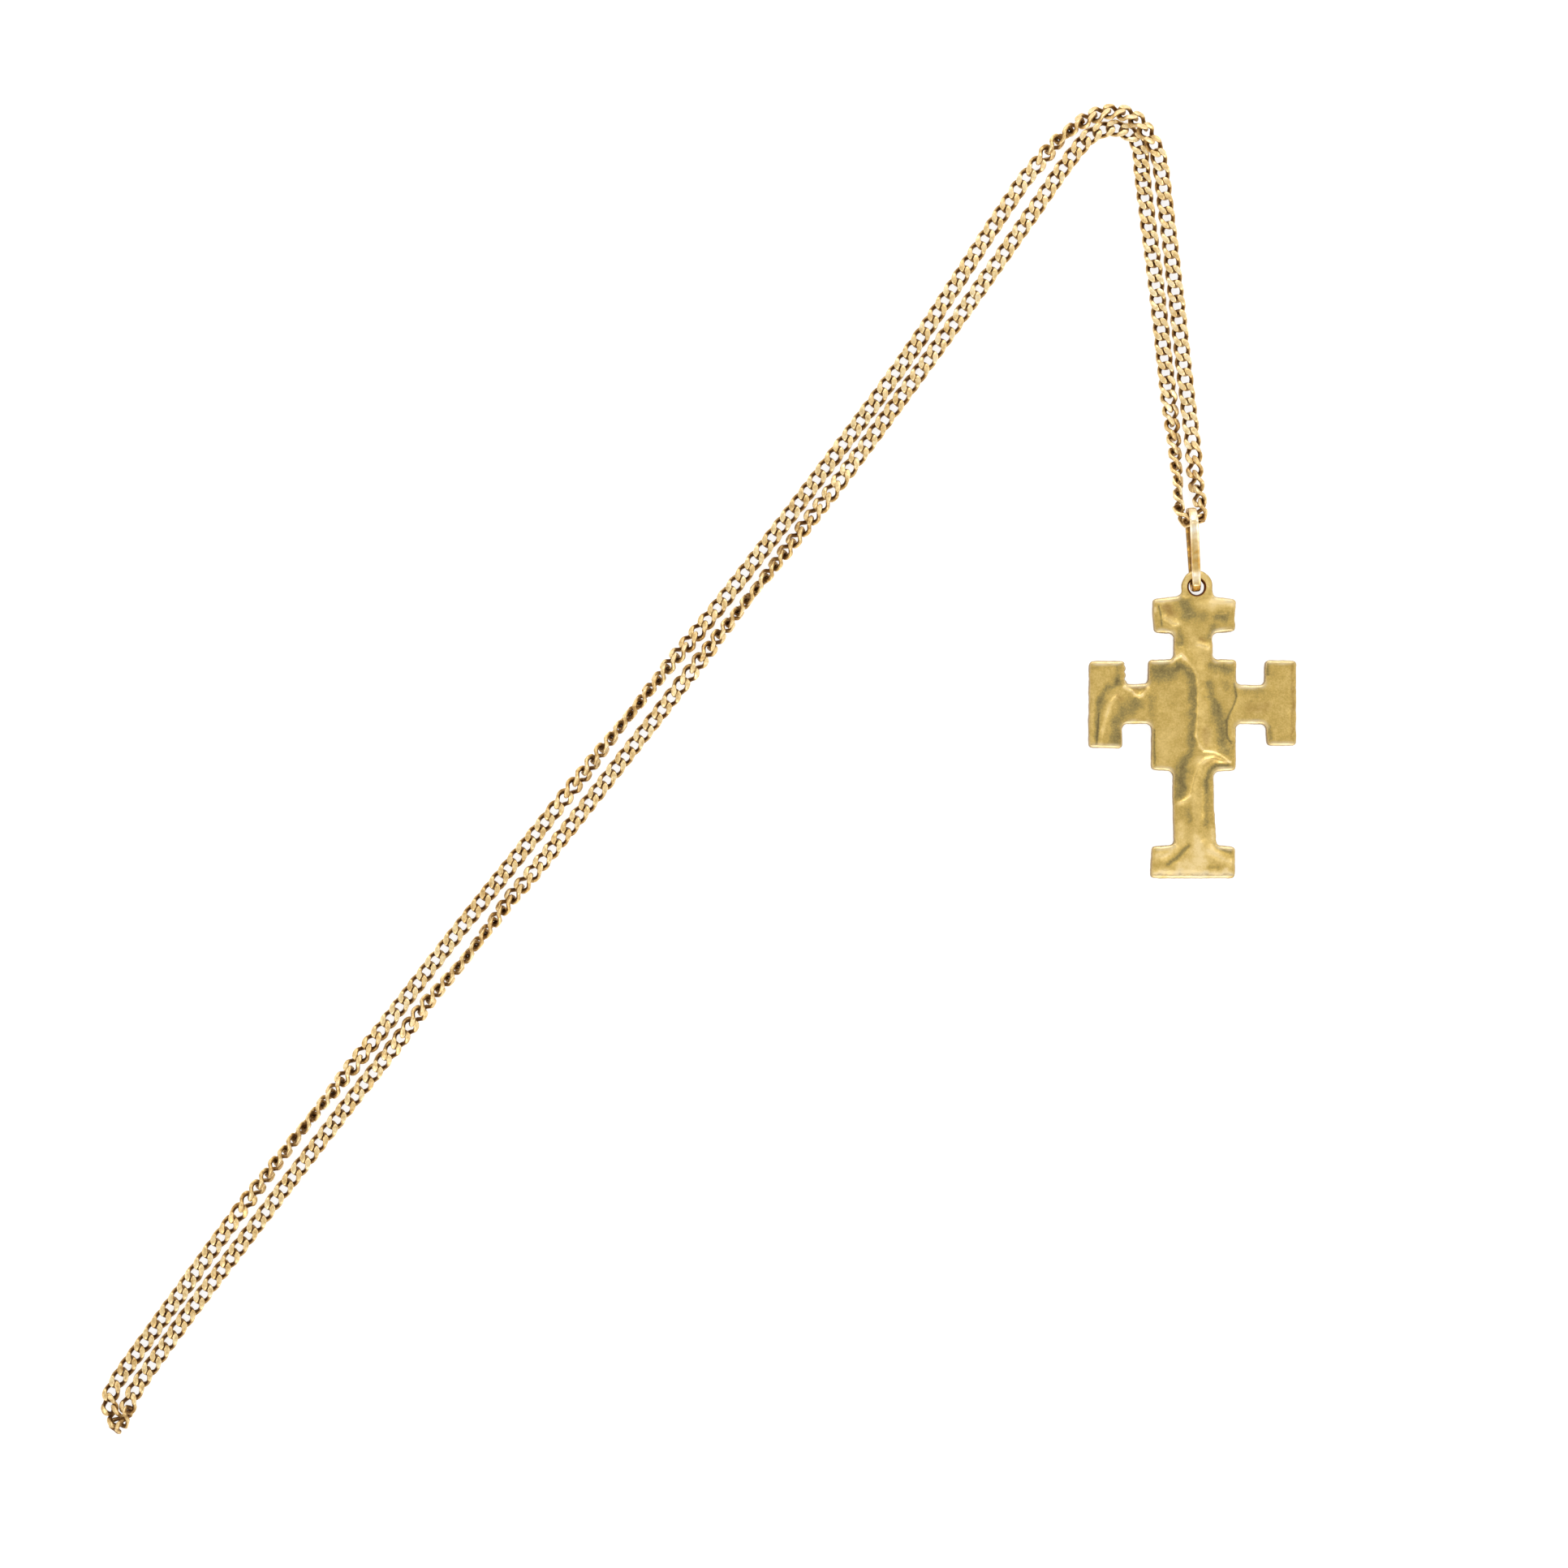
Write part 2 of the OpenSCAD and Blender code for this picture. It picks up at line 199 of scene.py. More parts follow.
def curb_link():
    """Vertices, quads and how light each vertex is, from wear and from painted shade, for one link about
    its own middle, in mm.
    """
    turn = np.linspace(0, 2 * math.pi, LINK_STEPS, endpoint=False)
    both = [np.sin(2 * turn) + spread for spread in (SWING_SPREAD, -SWING_SPREAD)]
    both = [LINK_SWING * s / np.sqrt(s ** 2 + SWING_ROUND) for s in both]
    swing = (both[0] + both[1]) / 2
    line = np.stack([LINK_HALF_LONG * np.cos(turn), LINK_HALF_WIDE * np.sin(turn)], 1)
    along = np.roll(line, -1, 0) - np.roll(line, 1, 0)
    out = np.stack([along[:, 1], -along[:, 0]], 1) / np.linalg.norm(along, axis=1)[:, None]
    from_end = np.degrees(np.arcsin(np.abs(np.sin(turn))))
    outer = np.interp(from_end, *WIRE_OUTER)
    inner = np.interp(from_end, *WIRE_INNER)
    climb = (np.roll(swing, -1) - np.roll(swing, 1)) / np.linalg.norm(along, axis=1)
    taller = np.minimum(np.sqrt(1 + CLIMB_GROWTH * climb ** 2), CLIMB_MOST)
    high = WIRE_HIGH * taller + (both[0] - both[1]) / 2
    # Where the rolled faces cut the wire, above and below its middle line, with softly worn ends
    cuts = []
    for side in (1, -1):
        face, whole = FACE_HEIGHT - FACE_CROWN - side * swing, UNCUT * high
        share = np.clip(0.5 + 0.5 * (whole - face) / FACE_WORN, 0, 1)
        cuts.append(face * share + whole * (1 - share) - FACE_WORN * share * (1 - share))
    angle = [np.arcsin(cut / high) for cut in cuts]
    outer_lighter = np.interp(from_end, *LIGHTER_OUTSIDE)
    ring = []
    for side in (1, -1):
        upper, lower = (0, 1) if side == 1 else (1, 0)
        for share in ARC_SHARES:
            t = -angle[lower] + share * (angle[upper] + angle[lower])
            wide = outer if side == 1 else inner
            ring.append((side * wide * np.cos(t), side * high * np.sin(t), WORN_BESIDE,
                         max(0, side) * np.cos(t) * outer_lighter))
        crown = np.minimum(FACE_CROWN, high - cuts[upper])
        for share in FLAT_SHARES:
            wide = outer if side * share > 0 else inner
            ring.append((side * share * wide * np.cos(angle[upper]),
                         side * (cuts[upper] + crown * (1 - share ** 2)), WORN_FACET, 0.0))
    points, wear_and_painted_light = [], []
    # Lower on the wire and on its inner side the gold is painted darker: painted shade in the link's
    # hollows, beside the real wear of the facets
    for across, over, by_facet, by_side in ring:
        points.append(np.column_stack([line + out * across[:, None], swing + over]))
        outward = np.clip((swing + over) * np.sign(over) / FACE_HEIGHT, 0, 1)
        cut = np.clip((outward - FACET_FROM) / FACET_OVER, 0, 1)
        wear_and_painted_light.append(np.clip(WORN_LEAST + LIGHTER_BY_HEIGHT * outward ** 2 + by_facet * cut + by_side, 0, 1))
    points = np.stack(points, 1).reshape(-1, 3)
    wear_and_painted_light = np.stack(wear_and_painted_light, 1).reshape(-1)
    return points, tube_quads(LINK_STEPS, len(ring)), wear_and_painted_light


def mesh_piece(name, points, faces, attributes=()):
    """A smooth-shaded mesh object from points in mm, with one number per vertex for each attribute."""
    mesh = bpy.data.meshes.new(name)
    mesh.from_pydata((np.asarray(points) * MM).tolist(), [], [list(map(int, f)) for f in faces])
    mesh.update()
    for title, values in attributes:
        layer = mesh.attributes.new(title, "FLOAT", "POINT")
        layer.data.foreach_set("value", np.asarray(values, np.float32))
    mesh.shade_smooth()
    piece = bpy.data.objects.new(name, mesh)
    bpy.context.scene.collection.objects.link(piece)
    return piece


def linear(hex_colour):
    """sRGB hex colour as linear RGBA."""
    parts = [int(hex_colour[i:i + 2], 16) / 255 for i in (1, 3, 5)]
    return (*[c / 12.92 if c <= 0.04045 else ((c + 0.055) / 1.055) ** 2.4 for c in parts], 1.0)


def set_inputs(tree, node, links):
    """Gives each named input a value, another node's output, or the first output of a node."""
    for key, value in dict(links).items():
        if isinstance(value, bpy.types.Node):
            value = value.outputs[0]
        if isinstance(value, bpy.types.NodeSocket):
            tree.links.new(value, node.inputs[key])
        else:
            node.inputs[key].default_value = value


def add_node(tree, kind, links=(), shades=(), **settings):
    """Adds a node with its inputs, the stops of its colour ramp if it has one, and its settings."""
    node = tree.nodes.new(kind)
    for key, value in settings.items():
        setattr(node, key, value)
    set_inputs(tree, node, links)
    for n, (place, shade) in enumerate(shades):
        stops = node.color_ramp.elements
        stop = stops[n] if n < 2 else stops.new(place)
        stop.position, stop.color = place, linear(shade)
    return node


def new_material(name):
    """A material, its node tree and its shader, which is linked to the output."""
    material = bpy.data.materials.new(name)
    material.use_nodes = True
    tree = material.node_tree
    tree.nodes.clear()
    shader = add_node(tree, "ShaderNodeBsdfPrincipled")
    add_node(tree, "ShaderNodeOutputMaterial", {"Surface": shader})
    return material, tree, shader


def patches(tree, where, size, varies, detail=3.0, rough=0.5):
    """Soft patches of about this size in mm, with values from -varies / 2 to varies / 2."""
    cloud = add_node(tree, "ShaderNodeTexNoise", {
        "Vector": where, "Scale": 1 / (size * MM), "Detail": detail, "Roughness": rough})
    return add_node(tree, "ShaderNodeMath", {0: cloud, 1: varies, 2: -varies / 2},
                    operation="MULTIPLY_ADD")


TARNISH_PATCH, TARNISH_VARIES = 0.55, 1.1  # mm, not quite the wire's width, and how much it varies
DINT = 0.3  # mm; the real dints of wear are finer, and are drawn this coarse to show
# From brown for the low wires and hollows, which is partly painted shade, to pale for the worn facets
LINK_SHADES = ((0.0, "#755432"), (0.25, "#9B7A4B"), (0.5, "#CCAD76"), (0.8, "#F5DEAB"), (1.0, "#FBEDCB"))


def rolled_gold():
    """Rolled and worn curb links: the flat faces are pale and satin, and the hollows and low wires are
    brown, from tarnish and from painted shade.
    """
    material, tree, shader = new_material("rolled_yellow_gold")
    # How light the gold is, from wear and from painted shade in the hollows
    wear_and_painted_light = add_node(tree, "ShaderNodeAttribute", attribute_name="wear_and_painted_light").outputs["Fac"]
    tone = add_node(tree, "ShaderNodeAttribute", attribute_name="tone").outputs["Fac"]
    where = add_node(tree, "ShaderNodeTexCoord").outputs["Object"]
    patchy = patches(tree, where, TARNISH_PATCH, TARNISH_VARIES)
    rub_and_painted_light = add_node(tree, "ShaderNodeMath", {0: wear_and_painted_light, 1: patchy}, operation="ADD")
    colour = add_node(tree, "ShaderNodeValToRGB", {"Fac": rub_and_painted_light}, LINK_SHADES)
    # The links' gold differs a little from one to the next
    metal = add_node(tree, "ShaderNodeMix", {0: tone, 6: linear("#F2E6D2"), 7: linear("#FFFFFF")},
                     data_type="RGBA")
    tinted = add_node(tree, "ShaderNodeMix", {0: 1.0, 6: colour, 7: metal.outputs[2]},
                      data_type="RGBA", blend_type="MULTIPLY")
    rough = add_node(tree, "ShaderNodeMapRange", {"Value": rub_and_painted_light, "To Min": 0.5, "To Max": 0.36})
    dints = add_node(tree, "ShaderNodeTexNoise", {
        "Vector": where, "Scale": 1 / (DINT * MM), "Detail": 4.0})
    relief = add_node(tree, "ShaderNodeBump", {
        "Height": dints, "Strength": 0.35, "Distance": 0.05 * MM})
    set_inputs(tree, shader, {
        "Base Color": tinted.outputs[2], "Metallic": 1.0, "Roughness": rough, "Normal": relief})
    return material


chain_metal = rolled_gold()
link_points, link_faces, link_wear_and_shade = curb_link()
link_middle, link_direction = link_places(chain_path())
rng = np.random.default_rng(7)
link_tone = rng.uniform(0, 1, LINKS_IN_ALL)
link_nod = np.radians(rng.normal(0, LINK_NOD, (LINKS_IN_ALL, 3)))
link_tarnish_and_shade = np.interp(np.arange(LINKS_IN_ALL), *LINK_TARNISH_AND_SHADE)
for n, move in LINK_MOVES.items():
    link_nod[n, 1:] += np.radians(move[4:])

# The chain's pieces, each from one share of its links to another
CHAIN_PIECES = (("chain_inner_strand", 0.0, 0.25), ("chain_inner_strand_lower", 0.25, 0.5),
                ("chain_outer_strand_lower", 0.5, 0.75), ("chain_outer_strand", 0.75, 1.0))
for name, first, last in CHAIN_PIECES:
    points, faces, wear_and_painted_light, tone = [], [], [], []
    for n in range(round(first * LINKS_IN_ALL), round(last * LINKS_IN_ALL)):
        forward = Vector(link_direction[n])
        side = forward.cross(Vector((0, 0, 1))).normalized()
        up = side.cross(forward)
        roll = math.radians(link_middle[n][3])
        turn = Matrix((forward, side * math.cos(roll) - up * math.sin(roll),
                       up * math.cos(roll) + side * math.sin(roll))).transposed()
        for axis, angle in zip("XYZ", link_nod[n]):
            turn = turn @ Matrix.Rotation(angle, 3, axis)
        placed = link_points @ np.array(turn).T + link_middle[n][:3]
        faces.append(link_faces + len(points) * len(link_points))
        points.append(placed + (0, 0, max(LOWEST - placed[:, 2].min(), 0)))
        # Each link is darker by its tarnish, and at the fold by painted shade
        wear_and_painted_light.append(link_wear_and_shade - link_tarnish_and_shade[n])
        tone.append(np.full(len(link_points), link_tone[n]))
    piece = mesh_piece(name, np.vstack(points), np.vstack(faces),
                       (("wear_and_painted_light", np.concatenate(wear_and_painted_light)), ("tone", np.concatenate(tone))))
    piece.data.materials.append(chain_metal)
    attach(piece, "root")
    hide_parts("chain")


# THE BAIL
# A long closed loop of flat gold wire, drawn, bent round and soldered, that goes
# through the ring of the cross and carries it on both strands of the chain. The
# two bends were pressed with flat pliers, which left small facets.

BAIL_AT, BAIL_LIFT = (72.13, 25.6), 0.07
BAIL_TURN, BAIL_LEAN = math.radians(4), math.radians(5)
BAIL_LONG, BAIL_WIDE, BAIL_THICK = 12.45, 1.25, 0.8
BAIL_GAPS = (1.6, 3.0)  # clear gap between the legs in the ring, and at the chain
# From one facet of the pliers to the next, at each bend, and how deep they are: 1 is quite flat
PLIER_STEPS, PLIER_PRESS = (math.radians(47), math.radians(55)), 0.8
BAIL_SQUARE = 3.4  # a flat wire with softly rounded edges
# How rubbed the wire is, from 0 to 1 of each part's length, with painted shade where it lies under
# the front leg and painted highlights along the front leg: down round the ring's bend, along the
# back leg, up round the chain's bend, and along the front leg to the ring again
BAIL_RUB_AND_PAINTED_LIGHT = (
    ((0, 0.09, 0.13, 0.5, 1), (0.7, 0.7, 0.15, 0.15, 0.0)),
    ((0, 1), (0.0, 0.0)),
    ((0, 0.35, 0.6, 0.66, 1), (0.0, 0.1, 0.4, 0.8, 0.85)),
    ((0, 0.14, 0.3, 0.45, 0.79, 0.82, 0.89, 0.91, 1), (0.85, 0.9, 0.5, 0.35, 0.3, 0.95, 0.95, 0.7, 0.7)),
)
# The pliers flattened the front leg's ends too: along the leg, and how deep in mm
LEG_PRESSED = ((0, 0.12, 0.8, 0.9, 1), (0.1, 0, 0, 0.08, 0.08))
BEND_STEPS, LEG_STEPS, BAIL_STEPS = 42, 26, 24  # along a bend, along a leg and round the wire


def bail_loop():
    """Points and quads of the loop in mm, and how rubbed each vertex is, with painted shade and painted
    highlights.
    """
    radii = [gap / 2 + BAIL_THICK / 2 for gap in BAIL_GAPS]
    high = [r + BAIL_THICK / 2 for r in radii]
    middles = np.array([[high[0], high[0]], [BAIL_LONG - high[1], high[1]]])
    reach = middles[1] - middles[0]
    slope = math.atan2(reach[1], reach[0])
    open_by = math.pi / 2 + math.asin((radii[1] - radii[0]) / np.linalg.norm(reach))
    bends = ((middles[0], radii[0], slope + open_by, slope - open_by + 2 * math.pi),
             (middles[1], radii[1], slope - open_by, slope + open_by))
    line, outward, rub_and_painted_light, pressed = [], [], [], []
    for n, (middle, radius, first, last) in enumerate(bends):
        step = PLIER_STEPS[n]
        for u in np.linspace(0, 1, BEND_STEPS):
            t = first + u * (last - first)
            way = np.array([math.cos(t), math.sin(t)])
            facet = (t - (first + last) / 2 + step / 2) % step - step / 2
            line.append(middle + way * radius)
            outward.append(way)
            rub_and_painted_light.append(np.interp(u, *BAIL_RUB_AND_PAINTED_LIGHT[2 * n]))
            pressed.append(PLIER_PRESS * radius * (1 - math.cos(step / 2) / math.cos(facet)))
        start = line[-1]
        middle, radius, first, last = bends[1 - n]
        stop = middle + radius * np.array([math.cos(first), math.sin(first)])
        for u in np.linspace(0, 1, LEG_STEPS)[1:-1]:
            line.append(start * (1 - u) + stop * u)
            outward.append(outward[-1])
            rub_and_painted_light.append(np.interp(u, *BAIL_RUB_AND_PAINTED_LIGHT[2 * n + 1]))
            pressed.append(np.interp(u, *LEG_PRESSED) if n == 1 else 0.0)
    line, outward, pressed = np.array(line), np.array(outward), np.array(pressed)
    rings = []
    for k in range(BAIL_STEPS):
        t = 2 * math.pi * (k + 0.5) / BAIL_STEPS
        c, s = math.cos(t), math.sin(t)
        across = BAIL_WIDE / 2 * math.copysign(abs(c) ** (2 / BAIL_SQUARE), c)
        out = BAIL_THICK / 2 * math.copysign(abs(s) ** (2 / BAIL_SQUARE), s)
        flat = line + outward * (out - pressed * (s > 0))[:, None]
        rings.append(np.column_stack([flat, np.full(len(flat), across)]))
    local = np.stack(rings, 1).reshape(-1, 3)
    along = np.array([-math.sin(BAIL_TURN), math.cos(BAIL_TURN), 0.0])
    east = np.array([math.cos(BAIL_TURN), math.sin(BAIL_TURN), 0.0])
    up = math.sin(BAIL_LEAN) * east + np.array([0, 0, math.cos(BAIL_LEAN)])
    across = math.cos(BAIL_LEAN) * east - np.array([0, 0, math.sin(BAIL_LEAN)])
    points = local[:, :1] * along + local[:, 1:2] * up + local[:, 2:3] * across
    points += np.array([*BAIL_AT, BAIL_LIFT])
    return points, tube_quads(len(line), BAIL_STEPS), np.repeat(rub_and_painted_light, BAIL_STEPS)


DRAW_LINE_APART, DRAW_LINE_LONG = 0.1, 2.5  # mm across the wire and along it
POLISH_PATCH, POLISH_VARIES = 0.9, 1.0  # mm, about the wire's thickness, and how much it varies
# The brown end is painted shade on the back leg; the pale end gives the front leg its painted highlights
BAIL_SHADES = ((0.0, "#8F6C3C"), (0.15, "#CC9C4A"), (0.35, "#D2B06E"), (0.6, "#E5C993"),
               (0.85, "#F5E2BC"), (1.0, "#FBF0DA"))


def drawn_gold():
    """Drawn and softly polished flat wire: pale rosy gold, with the draw plate's fine long lines."""
    material, tree, shader = new_material("drawn_rose_gold_wire")
    # How rubbed the wire is, with painted shade on the back leg and painted highlights on the front leg
    rub_and_painted_light = add_node(tree, "ShaderNodeAttribute", attribute_name="rub_and_painted_light").outputs["Fac"]
    where = add_node(tree, "ShaderNodeTexCoord").outputs["Object"]
    along_wire = 1 / (DRAW_LINE_LONG * MM)
    drawn = add_node(tree, "ShaderNodeMapping", {
        "Vector": where, "Scale": (1 / (DRAW_LINE_APART * MM), along_wire, along_wire)})
    lines = add_node(tree, "ShaderNodeTexNoise", {"Vector": drawn, "Scale": 1.0, "Detail": 3.0})
    patchy = patches(tree, where, POLISH_PATCH, POLISH_VARIES)
    shine = add_node(tree, "ShaderNodeMath", {0: patchy, 1: rub_and_painted_light}, operation="ADD")
    colour = add_node(tree, "ShaderNodeValToRGB", {"Fac": shine}, BAIL_SHADES)
    rough = add_node(tree, "ShaderNodeMapRange", {"Value": lines, "To Min": 0.2, "To Max": 0.42})
    relief = add_node(tree, "ShaderNodeBump", {
        "Height": lines, "Strength": 0.3, "Distance": 0.02 * MM})
    set_inputs(tree, shader, {
        "Base Color": colour, "Metallic": 1.0, "Roughness": rough, "Normal": relief})
    return material


points, faces, rub_and_painted_light = bail_loop()
piece = mesh_piece("bail_loop", points, faces, (("rub_and_painted_light", rub_and_painted_light),))
piece.data.materials.append(drawn_gold())
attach(piece, "root")
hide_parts("bail")


# THE CROSS
# A cross with barred ends, cast in solid yellow gold and finished by hand, lying
# on its front. Its back is uneven, with soft folds and dents from the casting, and
# its edges are filed round. The ring on its head is thinner, and was soldered on.

CROSS_AT = (71.7, 7.65)
# Corners of the outline from the middle of the cross: X, Y and radius
CROSS_OUTLINE = (
    (6.4, 16.95, 0.56), (2.95, 17.3, 0.9),
    (2.91, 19.59, 2.15), (2.01, 20.87, 2.15), (0.5, 21.28, 2.15), (-0.92, 20.62, 2.15),
    (-1.58, 19.2, 2.15), (-1.45, 17.45, 1.0),
    (-5.65, 17.0, 0.56), (-5.7, 15.0, 4.0), (-5.42, 12.1, 0.56), (-2.6, 11.95, 0.8), (-2.6, 8.2, 0.8),
    (-6.3, 8.15, 0.56), (-6.35, 4.65, 0.7), (-9.7, 4.65, 0.7), (-9.8, 8.0, 0.56),
    (-14.9, 7.95, 0.56), (-15.0, -4.6, 0.56), (-10.1, -4.75, 0.56), (-10.2, -1.15, 0.9),
    (-5.8, -1.15, 0.9), (-5.9, -7.85, 0.56), (-2.72, -8.0, 0.9), (-2.75, -12.0, 5.0),
    (-2.55, -18.75, 0.7), (-5.8, -18.95, 0.56), (-6.0, -23.58, 0.56), (6.2, -23.6, 0.56),
    (6.25, -19.0, 0.56), (3.55, -18.8, 0.7), (3.2, -13.6, 5.0), (3.1, -8.1, 0.9),
    (6.35, -7.95, 0.56), (6.35, -1.15, 0.8), (10.75, -1.2, 0.8), (10.95, -4.35, 0.56),
    (15.1, -4.35, 0.56), (15.1, 8.05, 0.56), (10.65, 8.1, 0.56), (10.55, 4.5, 0.7),
    (6.4, 4.5, 0.7), (6.4, 8.2, 0.56), (3.0, 8.2, 0.8), (2.95, 12.0, 0.8),
    (6.3, 12.3, 0.56), (6.15, 14.4, 4.0),
)
HOLE_AT, HOLE_RADIUS = (0.65, 18.72), 1.225
CROSS_TOP = 2.1  # the back's general height; its folds rise to 2.4
RING_FROM, RING_TOP = 1.15, 2.2  # under side and top of the ring on the head
RING_STARTS = 17.3
# The filed edges, inwards and down: on the sides of the bars, and on their ends
FILED_IN, FILED_DOWN = (0.2, 0.45), (0.2, 0.38)
HOLE_FILED, HOLE_TAPER = 0.2, 0.13  # the hole's filed edge, and how much it narrows in its middle
EDGE_ARC = range(15, 91, 15)  # degrees round a filed edge
EDGE_LEVELS = (0.35, 0.65)  # shares of the way down from one filed edge to the other
# The mesh: its cells' side in mm, steps on corners and in the hole, and rounds of evening out
CELL, CORNER_STEPS, HOLE_STEPS = 0.13, 8, 200
EVEN_BORDER, EVEN_INSIDE = 30, 12
END_ROUNDS = 160  # of evening out, so that sides turn to ends over about 1 mm at the corners

# Unevenness: how much, over how many mm, and its seed
BACK_UNEVEN = ((0.05, 3.2, 1.0), (0.025, 1.2, 2.0))
FRONT_UNEVEN = ((0.03, 2.6, 5.0),)
EDGE_UNEVEN = ((0.04, 1.5, 3.0), (0.03, 0.6, 8.0))
HIGHEST, LOWEST_FRONT = 2.39, 0.03
SIDE_SLANT = (0.5, 0.4)  # X and Y for each mm down the sides: straight down it would look fluted
# The bar turns to the ring over so many mm, from a little below where it starts; its under side
# does over so many, and this share of the folds' height is left on it
RING_BLEND, RING_EARLY, RING_UNDERCUT, RING_FOLDS = 0.7, 0.3, 0.4, 0.4
# The left bar's inner edge was filed in three small scallops: where, how they fade out along X
# and Y (at the middle, and less for each mm), how deep, and how close in radians a mm
SCALLOPS_AT, SCALLOPS_FADE = (-9.8, 6.3), ((1.5, 1.2), (2.2, 1.3))
SCALLOPS_FROM, SCALLOP_DEEP, SCALLOP_TURN = 6.4, 0.1, 3.0

SHARP = 0.5  # a fold narrower than this on one side has a sharp top
FOLD_ENDS, FOLD_START = 0.12, 0.35  # share of its length where it fades, and how far up it starts
LEFT_BAR_CREST = ((-10.8, 3.1), (-11.85, 1.9), (-12.45, 0.1), (-13.1, -2.0), (-13.5, -4.2))
